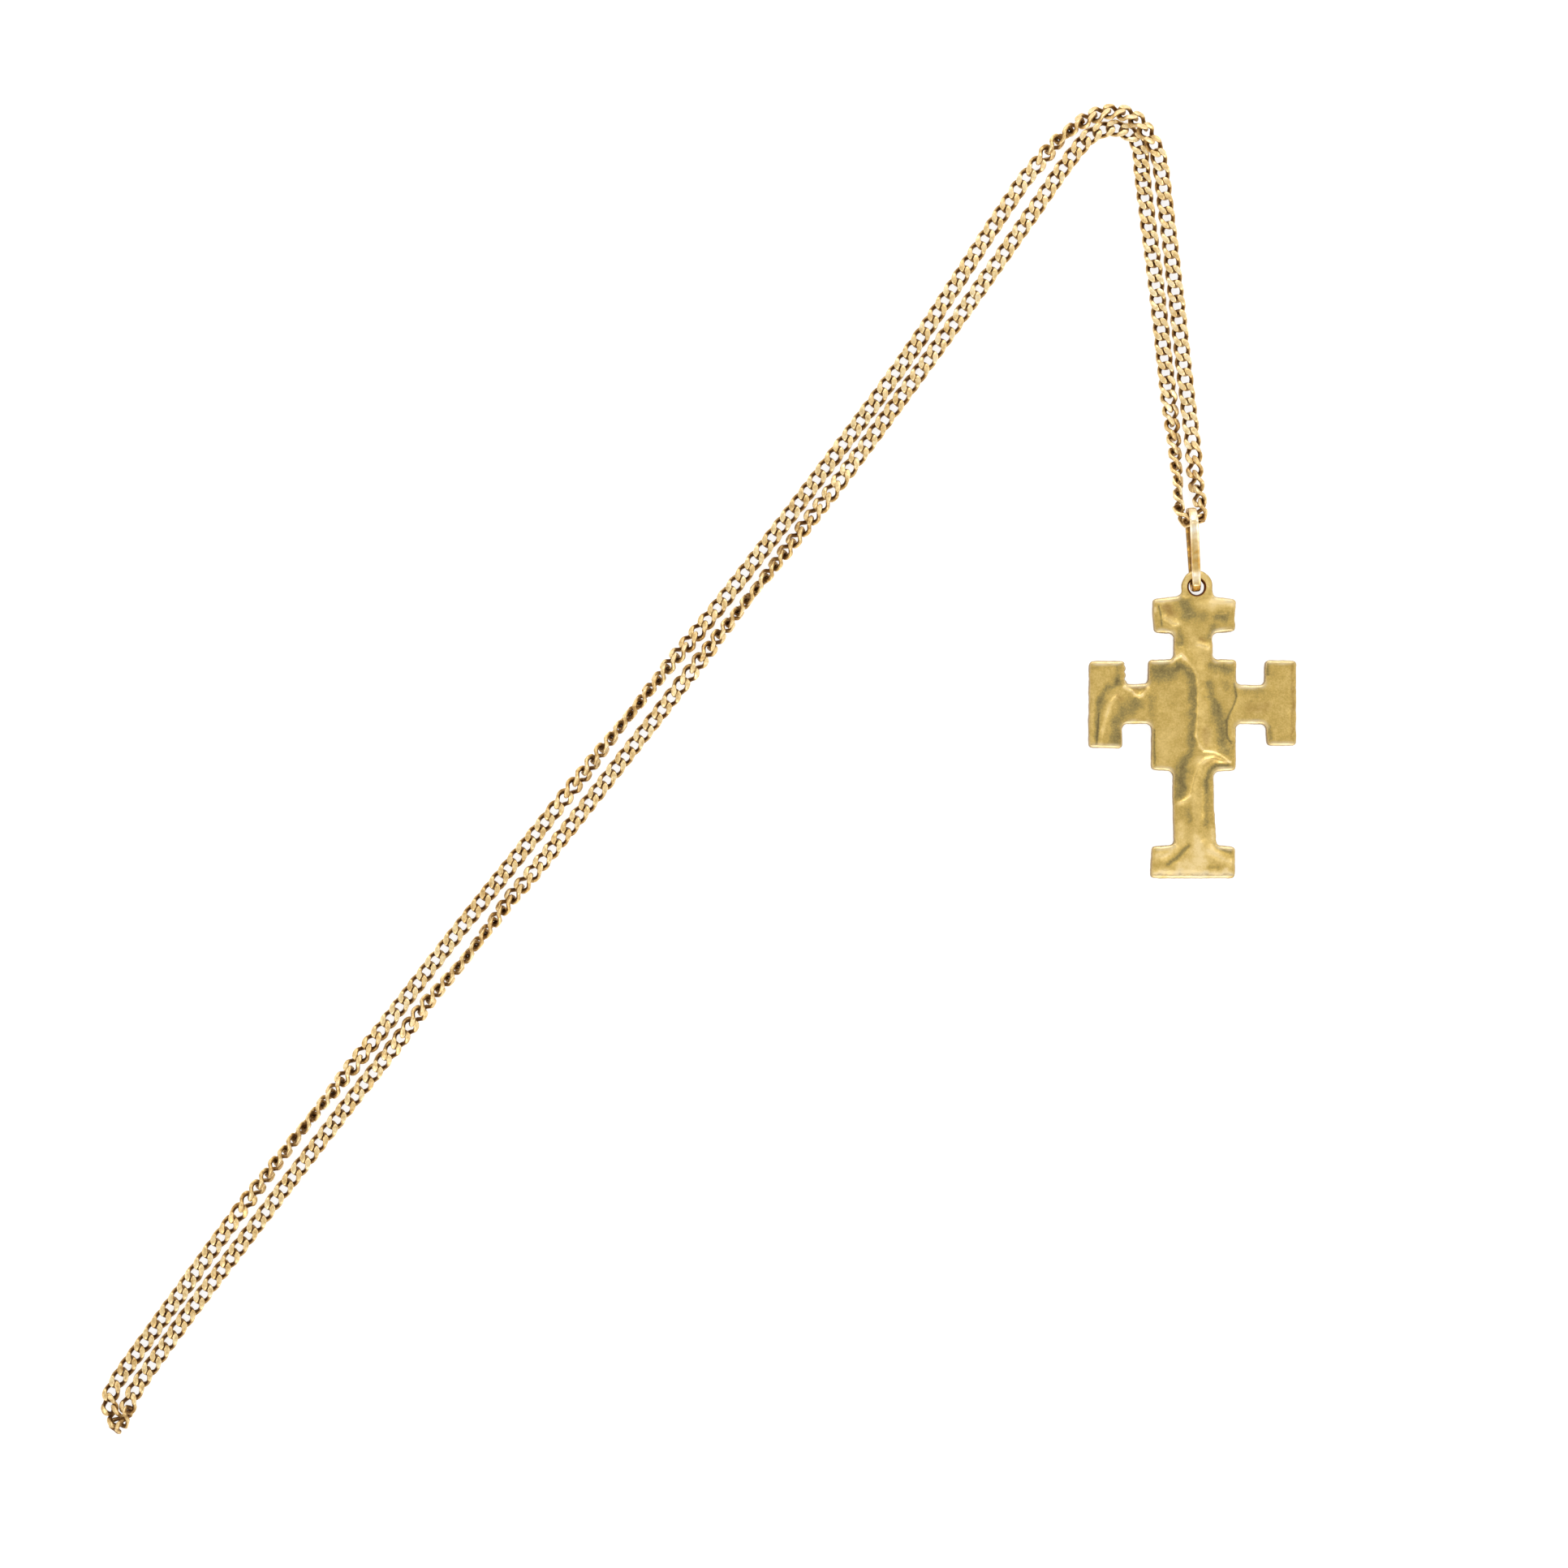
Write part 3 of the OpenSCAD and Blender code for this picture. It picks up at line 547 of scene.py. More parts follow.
# The back's folds and dents: height, width on the left and on the right of the
# line as it runs, and the line. A low width makes a sharp side.
FOLDS = (
    # The long crest down the middle of the square, and its hook at the foot
    (0.20, 2.2, 0.40, (-3.4, 8.0), (-2.4, 8.4), (-1.6, 8.9), (-0.8, 8.1), (0.1, 7.0), (0.7, 6.0),
        (0.9, 3.8), (0.9, 1.4), (0.8, -0.6), (0.6, -2.9), (1.1, -4.2), (1.7, -5.0), (3.1, -5.1),
        (4.2, -5.6), (5.5, -6.6)),
    (-0.07, 1.0, 1.0, (-0.3, 6.6), (0.0, 2.8), (0.0, -2.0), (-0.3, -5.0)),
    # The lobe under the hook, and the band that runs from it down the shaft
    (0.18, 1.1, 0.45, (4.9, -6.7), (3.1, -6.1), (1.9, -6.3), (1.0, -7.2), (0.4, -8.8), (0.0, -10.4),
        (-0.2, -11.6), (-0.9, -12.2), (-1.9, -12.7)),
    (0.08, 1.1, 1.1, (0.5, -11.8), (0.7, -15.0), (0.6, -17.8)),
    (-0.11, 0.8, 0.8, (5.2, -7.2), (3.4, -7.2), (2.5, -8.0), (2.0, -9.7), (2.1, -11.0), (2.1, -13.5),
        (1.9, -15.8)),
    (-0.08, 1.3, 1.3, (-1.0, -6.5), (-1.4, -8.6), (-1.4, -11.4)),
    (-0.04, 0.8, 0.8, (-0.6, -13.7), (-0.5, -15.1)),
    # The bar at the foot
    (0.13, 1.1, 1.1, (-2.4, -18.6), (-3.2, -19.8), (-4.9, -20.5)),
    (-0.13, 0.7, 0.7, (-0.5, -18.8), (-1.4, -19.7), (-2.4, -20.8), (-3.5, -21.5)),
    (0.11, 1.0, 0.9, (1.2, -18.2), (2.5, -19.6), (4.6, -20.8), (5.7, -21.2)),
    (-0.10, 0.6, 0.6, (3.8, -19.2), (5.5, -19.8)),
    (-0.08, 0.5, 0.5, (2.5, -22.0), (3.7, -22.0)),
    (-0.17, 1.3, 1.3, (-6.2, -23.6), (6.3, -23.6)),
    # The dent under the left neck's top edge, and its lip
    (-0.16, 0.6, 0.6, (-8.2, 4.1), (-7.7, 3.6), (-7.1, 4.1)),
    (0.16, 0.32, 0.7, (-9.9, 4.4), (-9.2, 3.8), (-8.6, 3.6), (-8.4, 3.1), (-7.65, 2.8), (-6.9, 3.5),
        (-6.3, 4.3)),
    # The left bar
    (0.07, 1.5, 0.8, *LEFT_BAR_CREST),
    (0.08, 0.6, 0.3, *LEFT_BAR_CREST),
    (-0.08, 0.8, 0.8, (-10.9, 4.8), (-12.4, 4.0), (-12.9, 3.1), (-13.5, 1.8), (-13.8, 0.4),
        (-13.9, -3.6)),
    (-0.07, 1.4, 1.4, (-8.2, 1.9), (-9.8, 0.6), (-11.0, -0.8), (-11.1, -3.6)),
    (0.07, 0.3, 0.3, (-12.0, 6.9), (-11.6, 6.5), (-11.2, 7.0)),
    # The left of the square
    (-0.11, 0.35, 0.5, (-5.4, -1.6), (-5.5, -4.5), (-5.4, -7.3)),
    (-0.07, 1.6, 1.6, (-5.2, 6.4), (-3.0, 6.2)),
    (0.04, 1.6, 1.6, (-4.0, -2.4), (-4.1, -6.8)),
    # The right of the square
    (-0.10, 1.1, 1.1, (2.4, 4.7), (2.9, 2.8), (3.6, 1.1)),
    (-0.06, 0.9, 0.9, (3.0, 7.1), (5.6, 6.8)),
    (-0.04, 0.7, 0.7, (4.8, 4.8), (5.0, 4.2)),
    (0.14, 1.2, 0.22, (6.2, 4.6), (6.4, 2.8), (6.1, 1.8), (5.5, 0.3), (5.1, -0.7), (5.1, -2.6),
        (5.3, -3.3), (5.8, -3.9), (6.3, -3.8)),
    (-0.07, 1.4, 1.4, (4.2, -0.8), (4.5, -3.4), (4.7, -4.8)),
    # The right arm and bar
    (-0.08, 0.5, 0.5, (10.9, 7.6), (10.9, 5.6)),
    (-0.08, 0.5, 0.5, (11.2, -1.6), (11.4, -3.4)),
    (-0.04, 0.5, 0.5, (14.4, 7.4), (14.3, 4.2), (14.4, -0.6), (14.3, -3.0)),
    (-0.03, 2.0, 2.0, (12.6, 5.0), (12.8, -1.0)),
    # The bar at the head, and its neck
    (0.13, 0.25, 0.7, (-4.9, 16.2), (-4.5, 14.6), (-4.4, 13.1)),
    (0.14, 0.9, 0.55, (-4.2, 14.3), (-3.4, 13.9), (-2.8, 13.4), (-2.0, 13.4)),
    (-0.11, 1.6, 1.6, (-1.1, 16.2), (-0.6, 14.7)),
    (-0.07, 1.0, 1.0, (3.7, 14.3), (4.8, 14.2)),
    (0.07, 0.9, 1.2, (0.8, 16.1), (2.8, 16.1), (4.4, 16.3), (5.9, 16.2)),
    (0.11, 0.7, 0.55, (0.7, 10.5), (1.6, 10.2), (2.5, 9.9)),
    (-0.07, 0.8, 0.8, (-1.8, 12.5), (-1.8, 9.9)),
    (-0.08, 0.8, 0.8, (3.0, 12.9), (2.4, 11.4)),
    (0.09, 0.4, 0.4, (-1.3, 17.6), (-0.8, 17.2)),
)
# These shares scale the painted highlights and shade in the table below as well as its wear
WEAR_AND_LIGHT_AMOUNT, WEAR_AND_LIGHT_WIDTH = 0.9, 0.72  # shares of the wear's amounts and widths that are used
RAGGED = ((0.3, 1.1, 11.0), (0.10, 0.4, 13.0))  # how its edges wander: how far, over how many mm, seed
RAGGED_FROM = 0.6  # a place no wider than this has a plain edge
# Where the gold is dull and olive (below 0) or rubbed bright (above 0), from real dulling and rubbing,
# and as painted highlights along the crests of the folds and painted shade along their steep sides
# and in the dents: how much, how wide, and where
WEAR_AND_PAINTED_LIGHT = (
    # The square, left of the crest
    (-0.42, 1.1, (-5.6, 6.9), (-2.4, 6.9)),
    (-0.36, 1.2, (-5.4, 5.7), (-3.0, 5.6)),
    (-0.42, 1.0, (-1.9, 7.3), (-0.4, 6.5), (0.1, 5.3), (0.1, 2.8), (0.1, -2.0), (0.1, -3.2),
        (-0.3, -5.1), (-1.0, -6.6), (-1.5, -8.5), (-1.3, -11.0), (-1.8, -11.9)),
    (-0.22, 0.8, (-5.9, 2.8), (-5.7, -0.4)),
    (-0.25, 1.2, (-2.0, -7.4), (-2.0, -10.8)),
    (0.10, 1.6, (-4.0, -2.6), (-4.2, -7.0)),
    (-0.45, 0.28, (-5.5, -2.0), (-5.5, -4.6), (-5.4, -7.2)),
    (0.30, 0.30, (-3.4, 8.0), (-2.4, 8.5), (-1.6, 9.0), (-0.8, 8.1), (0.1, 7.0), (0.7, 6.0), (0.9, 3.8),
        (0.9, 1.4), (0.8, -0.6), (0.6, -2.9)),
    (0.45, 0.42, (-2.9, 7.8), (-2.1, 8.5), (-1.55, 8.8), (-1.1, 8.3)),
    (0.36, 0.30, (0.6, -3.0), (1.1, -4.3), (1.7, -5.05), (3.1, -5.15), (4.2, -5.7), (5.5, -6.7)),
    # The square, right of the crest
    (0.10, 1.2, (1.4, 7.0), (1.7, 3.0), (1.6, -2.0), (2.0, -4.2)),
    (-0.38, 1.0, (2.3, 4.7), (2.8, 2.8), (3.5, 1.1)),
    (-0.42, 0.9, (2.9, 7.1), (5.6, 6.7)),
    (-0.28, 0.8, (4.8, 4.8), (5.0, 4.2)),
    (-0.42, 1.3, (3.9, 0.2), (4.2, -1.4), (4.4, -3.4), (4.8, -5.2)),
    (-0.50, 0.20, (6.1, 4.6), (6.4, 2.8), (6.1, 1.8), (5.4, 0.3), (5.0, -0.7), (5.0, -2.6), (5.2, -3.3),
        (5.7, -4.0)),
    (0.12, 0.7, (5.9, -0.8), (5.8, -3.0)),
    # Under the hook, and the band down the shaft
    (0.28, 0.9, (1.2, -6.6), (2.1, -6.1), (3.1, -6.0)),
    (-0.50, 0.55, (5.2, -7.15), (3.5, -7.2), (2.5, -8.0), (2.0, -9.6), (2.1, -11.0)),
    (0.50, 0.28, (3.9, -6.7), (5.5, -6.75)),
    (0.12, 0.6, (0.9, -7.6), (0.4, -9.4), (0.2, -11.4)),
    (0.32, 0.45, (-1.9, -12.7), (-0.9, -12.2), (-0.4, -11.6)),
    (0.12, 0.9, (0.6, -12.2), (0.6, -17.6)),
    (-0.25, 0.7, (2.1, -12.0), (2.0, -15.8)),
    (-0.22, 0.7, (-0.6, -13.7), (-0.5, -15.1)),
    (0.25, 1.1, (-1.5, -16.2), (-1.6, -18.2)),
    (0.30, 0.6, (3.0, -16.6), (3.2, -17.9)),
    # The bar at the foot
    (0.42, 0.9, (-2.7, -19.0), (-3.2, -19.9), (-4.9, -20.5)),
    (-0.45, 0.50, (-0.5, -18.8), (-1.4, -19.7), (-2.4, -20.8), (-3.5, -21.5)),
    (0.42, 1.6, (0.9, -18.6), (1.2, -21.0)),
    (0.32, 1.2, (-1.6, -21.6), (-0.2, -21.8)),
    (0.42, 0.8, (2.5, -19.4), (4.6, -20.8), (5.6, -21.2)),
    (-0.40, 0.45, (3.8, -19.2), (5.5, -19.8)),
    (-0.36, 0.50, (2.5, -22.0), (3.7, -22.0)),
    (0.50, 0.9, (-5.6, -22.9), (5.8, -22.9)),
    # The left arm and bar
    (-0.38, 0.8, (-10.8, 4.7), (-12.4, 4.0), (-12.9, 3.1), (-13.5, 1.8), (-13.8, 0.4), (-13.8, -3.4)),
    (-0.38, 1.4, (-8.2, 1.9), (-9.8, 0.7), (-11.0, -0.8), (-11.0, -3.8)),
    (-0.30, 0.6, (-10.8, 7.5), (-10.8, 5.2)),
    (-0.20, 0.7, (-14.2, 7.2), (-13.6, 7.2)),
    (0.16, 0.5, (-14.3, 2.8), (-14.4, -3.6)),
    (0.28, 0.45, (-11.2, 2.7), (-11.85, 1.9), (-12.45, 0.1), (-13.05, -2.0), (-13.4, -4.2)),
    (-0.45, 0.17, (-13.55, 0.4), (-13.7, -2.0), (-13.9, -4.2)),
    (0.50, 0.34, (-9.9, 4.2), (-9.2, 3.75), (-8.65, 3.55), (-8.4, 3.1), (-7.65, 2.8), (-7.3, 3.0)),
    (0.26, 0.26, (-7.3, 3.0), (-6.8, 3.6), (-6.3, 4.2)),
    (-0.15, 0.5, (-8.6, 4.0), (-7.0, 4.1)),
    # The right arm and bar
    (-0.35, 0.5, (10.9, 7.6), (10.9, 6.0)),
    (-0.40, 0.5, (11.2, -1.7), (11.4, -3.3)),
    (-0.14, 1.6, (7.2, 3.6), (10.0, 3.6)),
    # The bar at the head, and its neck
    (0.45, 0.40, (-5.4, 15.6), (-5.4, 15.2)),
    (-0.45, 0.22, (-4.9, 16.1), (-4.5, 14.6), (-4.4, 13.1)),
    (0.30, 0.55, (-4.1, 14.2), (-3.3, 13.8), (-2.7, 13.3), (-2.1, 13.4)),
    (-0.42, 1.4, (-1.2, 16.3), (-0.7, 14.6)),
    (-0.22, 1.2, (0.6, 14.8), (1.6, 14.4)),
    (-0.40, 0.9, (3.7, 14.3), (4.8, 14.2)),
    (-0.36, 0.8, (3.1, 12.9), (2.5, 11.3)),
    (0.24, 1.0, (1.0, 16.0), (2.8, 16.1), (4.4, 16.4), (5.8, 16.3)),
    (0.45, 0.6, (3.0, 16.8), (4.6, 16.6), (6.1, 16.4)),
    (0.40, 0.45, (-5.4, 16.6), (-3.2, 16.8)),
    (0.30, 0.15, (3.6, 14.8), (5.0, 14.9)),
    (-0.30, 0.7, (-1.8, 12.4), (-1.8, 9.9)),
    (0.10, 1.2, (-0.2, 12.8), (0.0, 9.6)),
    (0.26, 0.6, (0.9, 10.3), (2.4, 9.9)),
    (0.30, 0.5, (-1.3, 17.6), (-0.8, 17.2)),
    (0.28, 0.7, (-1.1, 18.6), (-0.8, 19.9), (0.6, 20.6), (2.0, 20.1), (2.4, 18.8)),
)
# Where it is stained orange, and where orange is painted as shade on the slopes beside the bright folds
# at the head and neck: how much, how wide, and where
STAINS_AND_SHADE = (
    (0.45, 1.2, (-3.6, 15.6), (-3.0, 14.9)), (0.40, 0.8, (1.4, 11.1), (1.7, 10.8)),
    (0.30, 0.8, (-10.8, 3.1), (-10.4, 2.6)), (0.30, 0.7, (-8.5, 3.9), (-7.0, 4.0)),
    (0.25, 0.8, (1.9, -2.0), (2.0, -4.2)), (0.25, 0.6, (3.4, -6.4), (2.2, -7.0)),
    (0.20, 1.4, (8.5, 1.0), (10.6, 1.4)), (0.30, 0.3, (14.5, 7.4), (14.5, -3.4)),
    (0.35, 0.14, (-5.7, -23.1), (5.9, -23.1)),
)
EDGE_STAIN, EDGE_STAIN_IN, EDGE_STAIN_WIDE = 0.12, 0.15, 0.16  # a faint broken line along the edge
# How rubbed the back, the front and the sides are, and how stained the sides are; the sides' brown is
# painted shade on the walls, and the hole's wall is painted fully brown as shade
BACK_RUBBED, FRONT_RUBBED, SIDE_RUBBED, SIDE_STAINED_AND_SHADED = 0.6, 0.45, 0.4, 0.45
# How the filed edge is rubbed, filed bright and stained: along the bars' sides, and on their ends, that
# is where the edge faces east or west, and where it faces north or south. Beside the real filing, the
# edge facing the brighter north and south is painted paler, a painted highlight, and the edge facing
# east and west browner, a painted shade
EDGE_RUBBED_AND_LIT, EDGE_FILED_AND_LIT, EDGE_STAINED_AND_SHADED = (0.55, 0.7), (0.35, 1.0), (0.22, 0.0)
RIM_SHARE, RING_UNFILED = 0.9, 0.7  # how far out it is bright, and how much less so on the ring
# The pale on the ends is partly filing, partly a painted highlight where the edge faces the brighter
# north and south
PALE_WIDE = 0.22  # mm of the back's own edge that filing the ends made pale
PALE_FOOT, PALE_FOOT_OVER = -22.1, 1.1  # the foot's end gets pale from this Y, over so many mm
# Blotches: their level, how much they vary, their size in mm and their seed
BACK_BLOTCHES, RIM_BLOTCHES = (0.65, 0.6, 1.3, 9.0), (0.8, 0.5, 1.3, 9.0)
STAIN_BLOTCHES = (0.5, 1, 1.1, 6.0)


def rounded_line(step=0.05):
    """The cross's outline with its corners turned, as points that many mm apart."""
    at = np.array([corner[:2] for corner in CROSS_OUTLINE], float)
    line = []
    for i, (_, _, radius) in enumerate(CROSS_OUTLINE):
        to_last, to_next = at[i - 1] - at[i], at[(i + 1) % len(at)] - at[i]
        room = 0.5 * min(np.linalg.norm(to_last), np.linalg.norm(to_next))
        to_last, to_next = to_last / np.linalg.norm(to_last), to_next / np.linalg.norm(to_next)
        half = math.acos(float(to_last @ to_next)) / 2
        radius = min(radius, room * math.tan(half))
        bisector = (to_last + to_next) / np.linalg.norm(to_last + to_next)
        middle = at[i] + bisector * radius / math.sin(half)
        first = at[i] + to_last * radius / math.tan(half) - middle
        last = at[i] + to_next * radius / math.tan(half) - middle
        swing = math.pi - 2 * half
        for u in np.linspace(0, 1, 3 + int(abs(swing) * CORNER_STEPS)):
            way = math.sin((1 - u) * swing) * first + math.sin(u * swing) * last
            line.append(middle + way / math.sin(swing))
    line = np.array(line + line[:1])
    along = np.concatenate([[0], np.cumsum(np.linalg.norm(np.diff(line, axis=0), axis=1))])
    even = np.linspace(0, along[-1], int(along[-1] / step), endpoint=False)
    return np.stack([np.interp(even, along, line[:, k]) for k in (0, 1)], 1)


def outward_of(line):
    """Unit directions out of a closed line that runs anticlockwise."""
    along = np.roll(line, -1, 0) - np.roll(line, 1, 0)
    along /= np.linalg.norm(along, axis=1)[:, None]
    return np.stack([along[:, 1], -along[:, 0]], 1)


def waves(points, size, seed, swing=1.6):
    """Smooth noise at each point, about -1 to 1 with this swing, and bumps of the given size in mm."""
    return np.array([noise.noise(Vector((p[0] / size, p[1] / size, seed))) for p in points]) * swing


def uneven(points, bumps):
    """Waves of several sizes added up."""
    return sum(height * waves(points, size, seed) for height, size, seed in bumps)


def blotches(points, level, varies, size, seed):
    """A share from 0 to 1 at each point, in blotches about the level."""
    return np.clip(level + varies * waves(points, size, seed), 0, 1)


def from_line(points, line):
    """For each point: how far it is from the line, whether it is left of it, and how far along."""
    line = np.array(line, float)
    lengths = np.linalg.norm(np.diff(line, axis=0), axis=1)
    away, left, share = np.full(len(points), 1e9), np.zeros(len(points), bool), np.zeros(len(points))
    done = 0.0
    for a, b, length in zip(line[:-1], line[1:], lengths):
        run = (b - a) / length
        t = np.clip((points - a) @ run, 0, length)
        off = points - a - t[:, None] * run
        far = np.hypot(off[:, 0], off[:, 1])
        near = far < away
        away[near], share[near] = far[near], (done + t[near]) / lengths.sum()
        left[near] = (run[0] * off[:, 1] - run[1] * off[:, 0])[near] > 0
        done += length
    return away, left, share


def ease(x):
    """A soft step: 0 for anything below 0, 1 above 1, and smooth between."""
    x = np.clip(x, 0, 1)
    return x * x * (3 - 2 * x)


def side_to_end(pair, is_end):
    """The first number on the sides of the bars, the second on their ends, and between at corners."""
    return np.interp(is_end, (0, 1), pair)


def search_tree(points):
    """Finds the nearest of these flat points."""
    tree = KDTree(len(points))
    for n, point in enumerate(points):
        tree.insert((*point, 0), n)
    tree.balance()
    return tree


def inside_of(line, xs, ys):
    """Grid of True where the point is inside the closed line."""
    after = np.roll(line, -1, 0)
    grid = np.zeros((len(ys), len(xs)), bool)
    for row, y in enumerate(ys):
        cross = (line[:, 1] > y) != (after[:, 1] > y)
        a, b = line[cross], after[cross]
        cuts = np.sort(a[:, 0] + (y - a[:, 1]) / (b[:, 1] - a[:, 1]) * (b[:, 0] - a[:, 0]))
        grid[row] = np.searchsorted(cuts, xs) % 2 == 1
    return grid


def flat_net(line, hole):
    """Cells that fill the line less the hole, with their border pulled onto both.

    Gives the points, the quads and, for each border loop, its point numbers and outward directions.
    """
    xs = np.arange(line[:, 0].min() - CELL, line[:, 0].max() + 2 * CELL, CELL)
    ys = np.arange(line[:, 1].min() - CELL, line[:, 1].max() + 2 * CELL, CELL)
    mid_x, mid_y = xs[:-1] + CELL / 2, ys[:-1] + CELL / 2
    full = inside_of(line, mid_x, mid_y) & ~inside_of(hole, mid_x, mid_y)
    block = full[:-1, :-1] & full[1:, :-1] & full[:-1, 1:] & full[1:, 1:]
    kept = np.zeros_like(full)
    for dy, dx in ((0, 0), (1, 0), (0, 1), (1, 1)):
        kept[dy:dy + block.shape[0], dx:dx + block.shape[1]] |= block
    row, column = np.nonzero(kept)
    corner = np.stack([row * len(xs) + column, row * len(xs) + column + 1,
                       (row + 1) * len(xs) + column + 1, (row + 1) * len(xs) + column], 1)
    used, quads = np.unique(corner, return_inverse=True)
    quads = quads.reshape(-1, 4)
    points = np.stack([xs[used % len(xs)], ys[used // len(xs)]], 1)
    edges = np.concatenate([quads[:, [k, (k + 1) % 4]] for k in range(4)])
    both = set(map(tuple, edges.tolist()))
    follow = {a: b for a, b in both if (b, a) not in both}
    loops, fixed = [], np.zeros(len(points), bool)
    while follow:
        start = min(follow)
        loop = [start]
        while (after := follow.pop(loop[-1])) != start:
            loop.append(after)
        curve = min((line, hole), key=lambda c: np.hypot(*(c - points[start]).T).min())
        tree = search_tree(curve)
        at = np.array([tree.find((*points[n], 0))[1] for n in loop], float)
        turns = len(curve)
        step = (np.diff(at, append=at[0]) + turns / 2) % turns - turns / 2
        at = at[0] + np.concatenate([[0], np.cumsum(step)[:-1]])
        for _ in range(EVEN_BORDER):
            wide = np.concatenate([[at[-1] - turns], at, [at[0] + turns]])
            at = 0.25 * wide[:-2] + 0.5 * at + 0.25 * wide[2:]
        whole = np.floor(at).astype(int)
        part = (at - whole)[:, None]
        out = outward_of(curve)
        points[loop] = curve[whole % turns] * (1 - part) + curve[(whole + 1) % turns] * part
        out = out[whole % turns] * (1 - part) + out[(whole + 1) % turns] * part
        fixed[loop] = True
        loops.append((loop, out / np.linalg.norm(out, axis=1)[:, None]))
    pairs = np.array(sorted({(min(e), max(e)) for e in both}))
    count = np.zeros(len(points))
    np.add.at(count, pairs.ravel(), 1)
    for _ in range(EVEN_INSIDE):
        total = np.zeros_like(points)
        np.add.at(total, pairs[:, 0], points[pairs[:, 1]])
        np.add.at(total, pairs[:, 1], points[pairs[:, 0]])
        points = np.where(fixed[:, None], points, total / count[:, None])
    return points, quads, loops


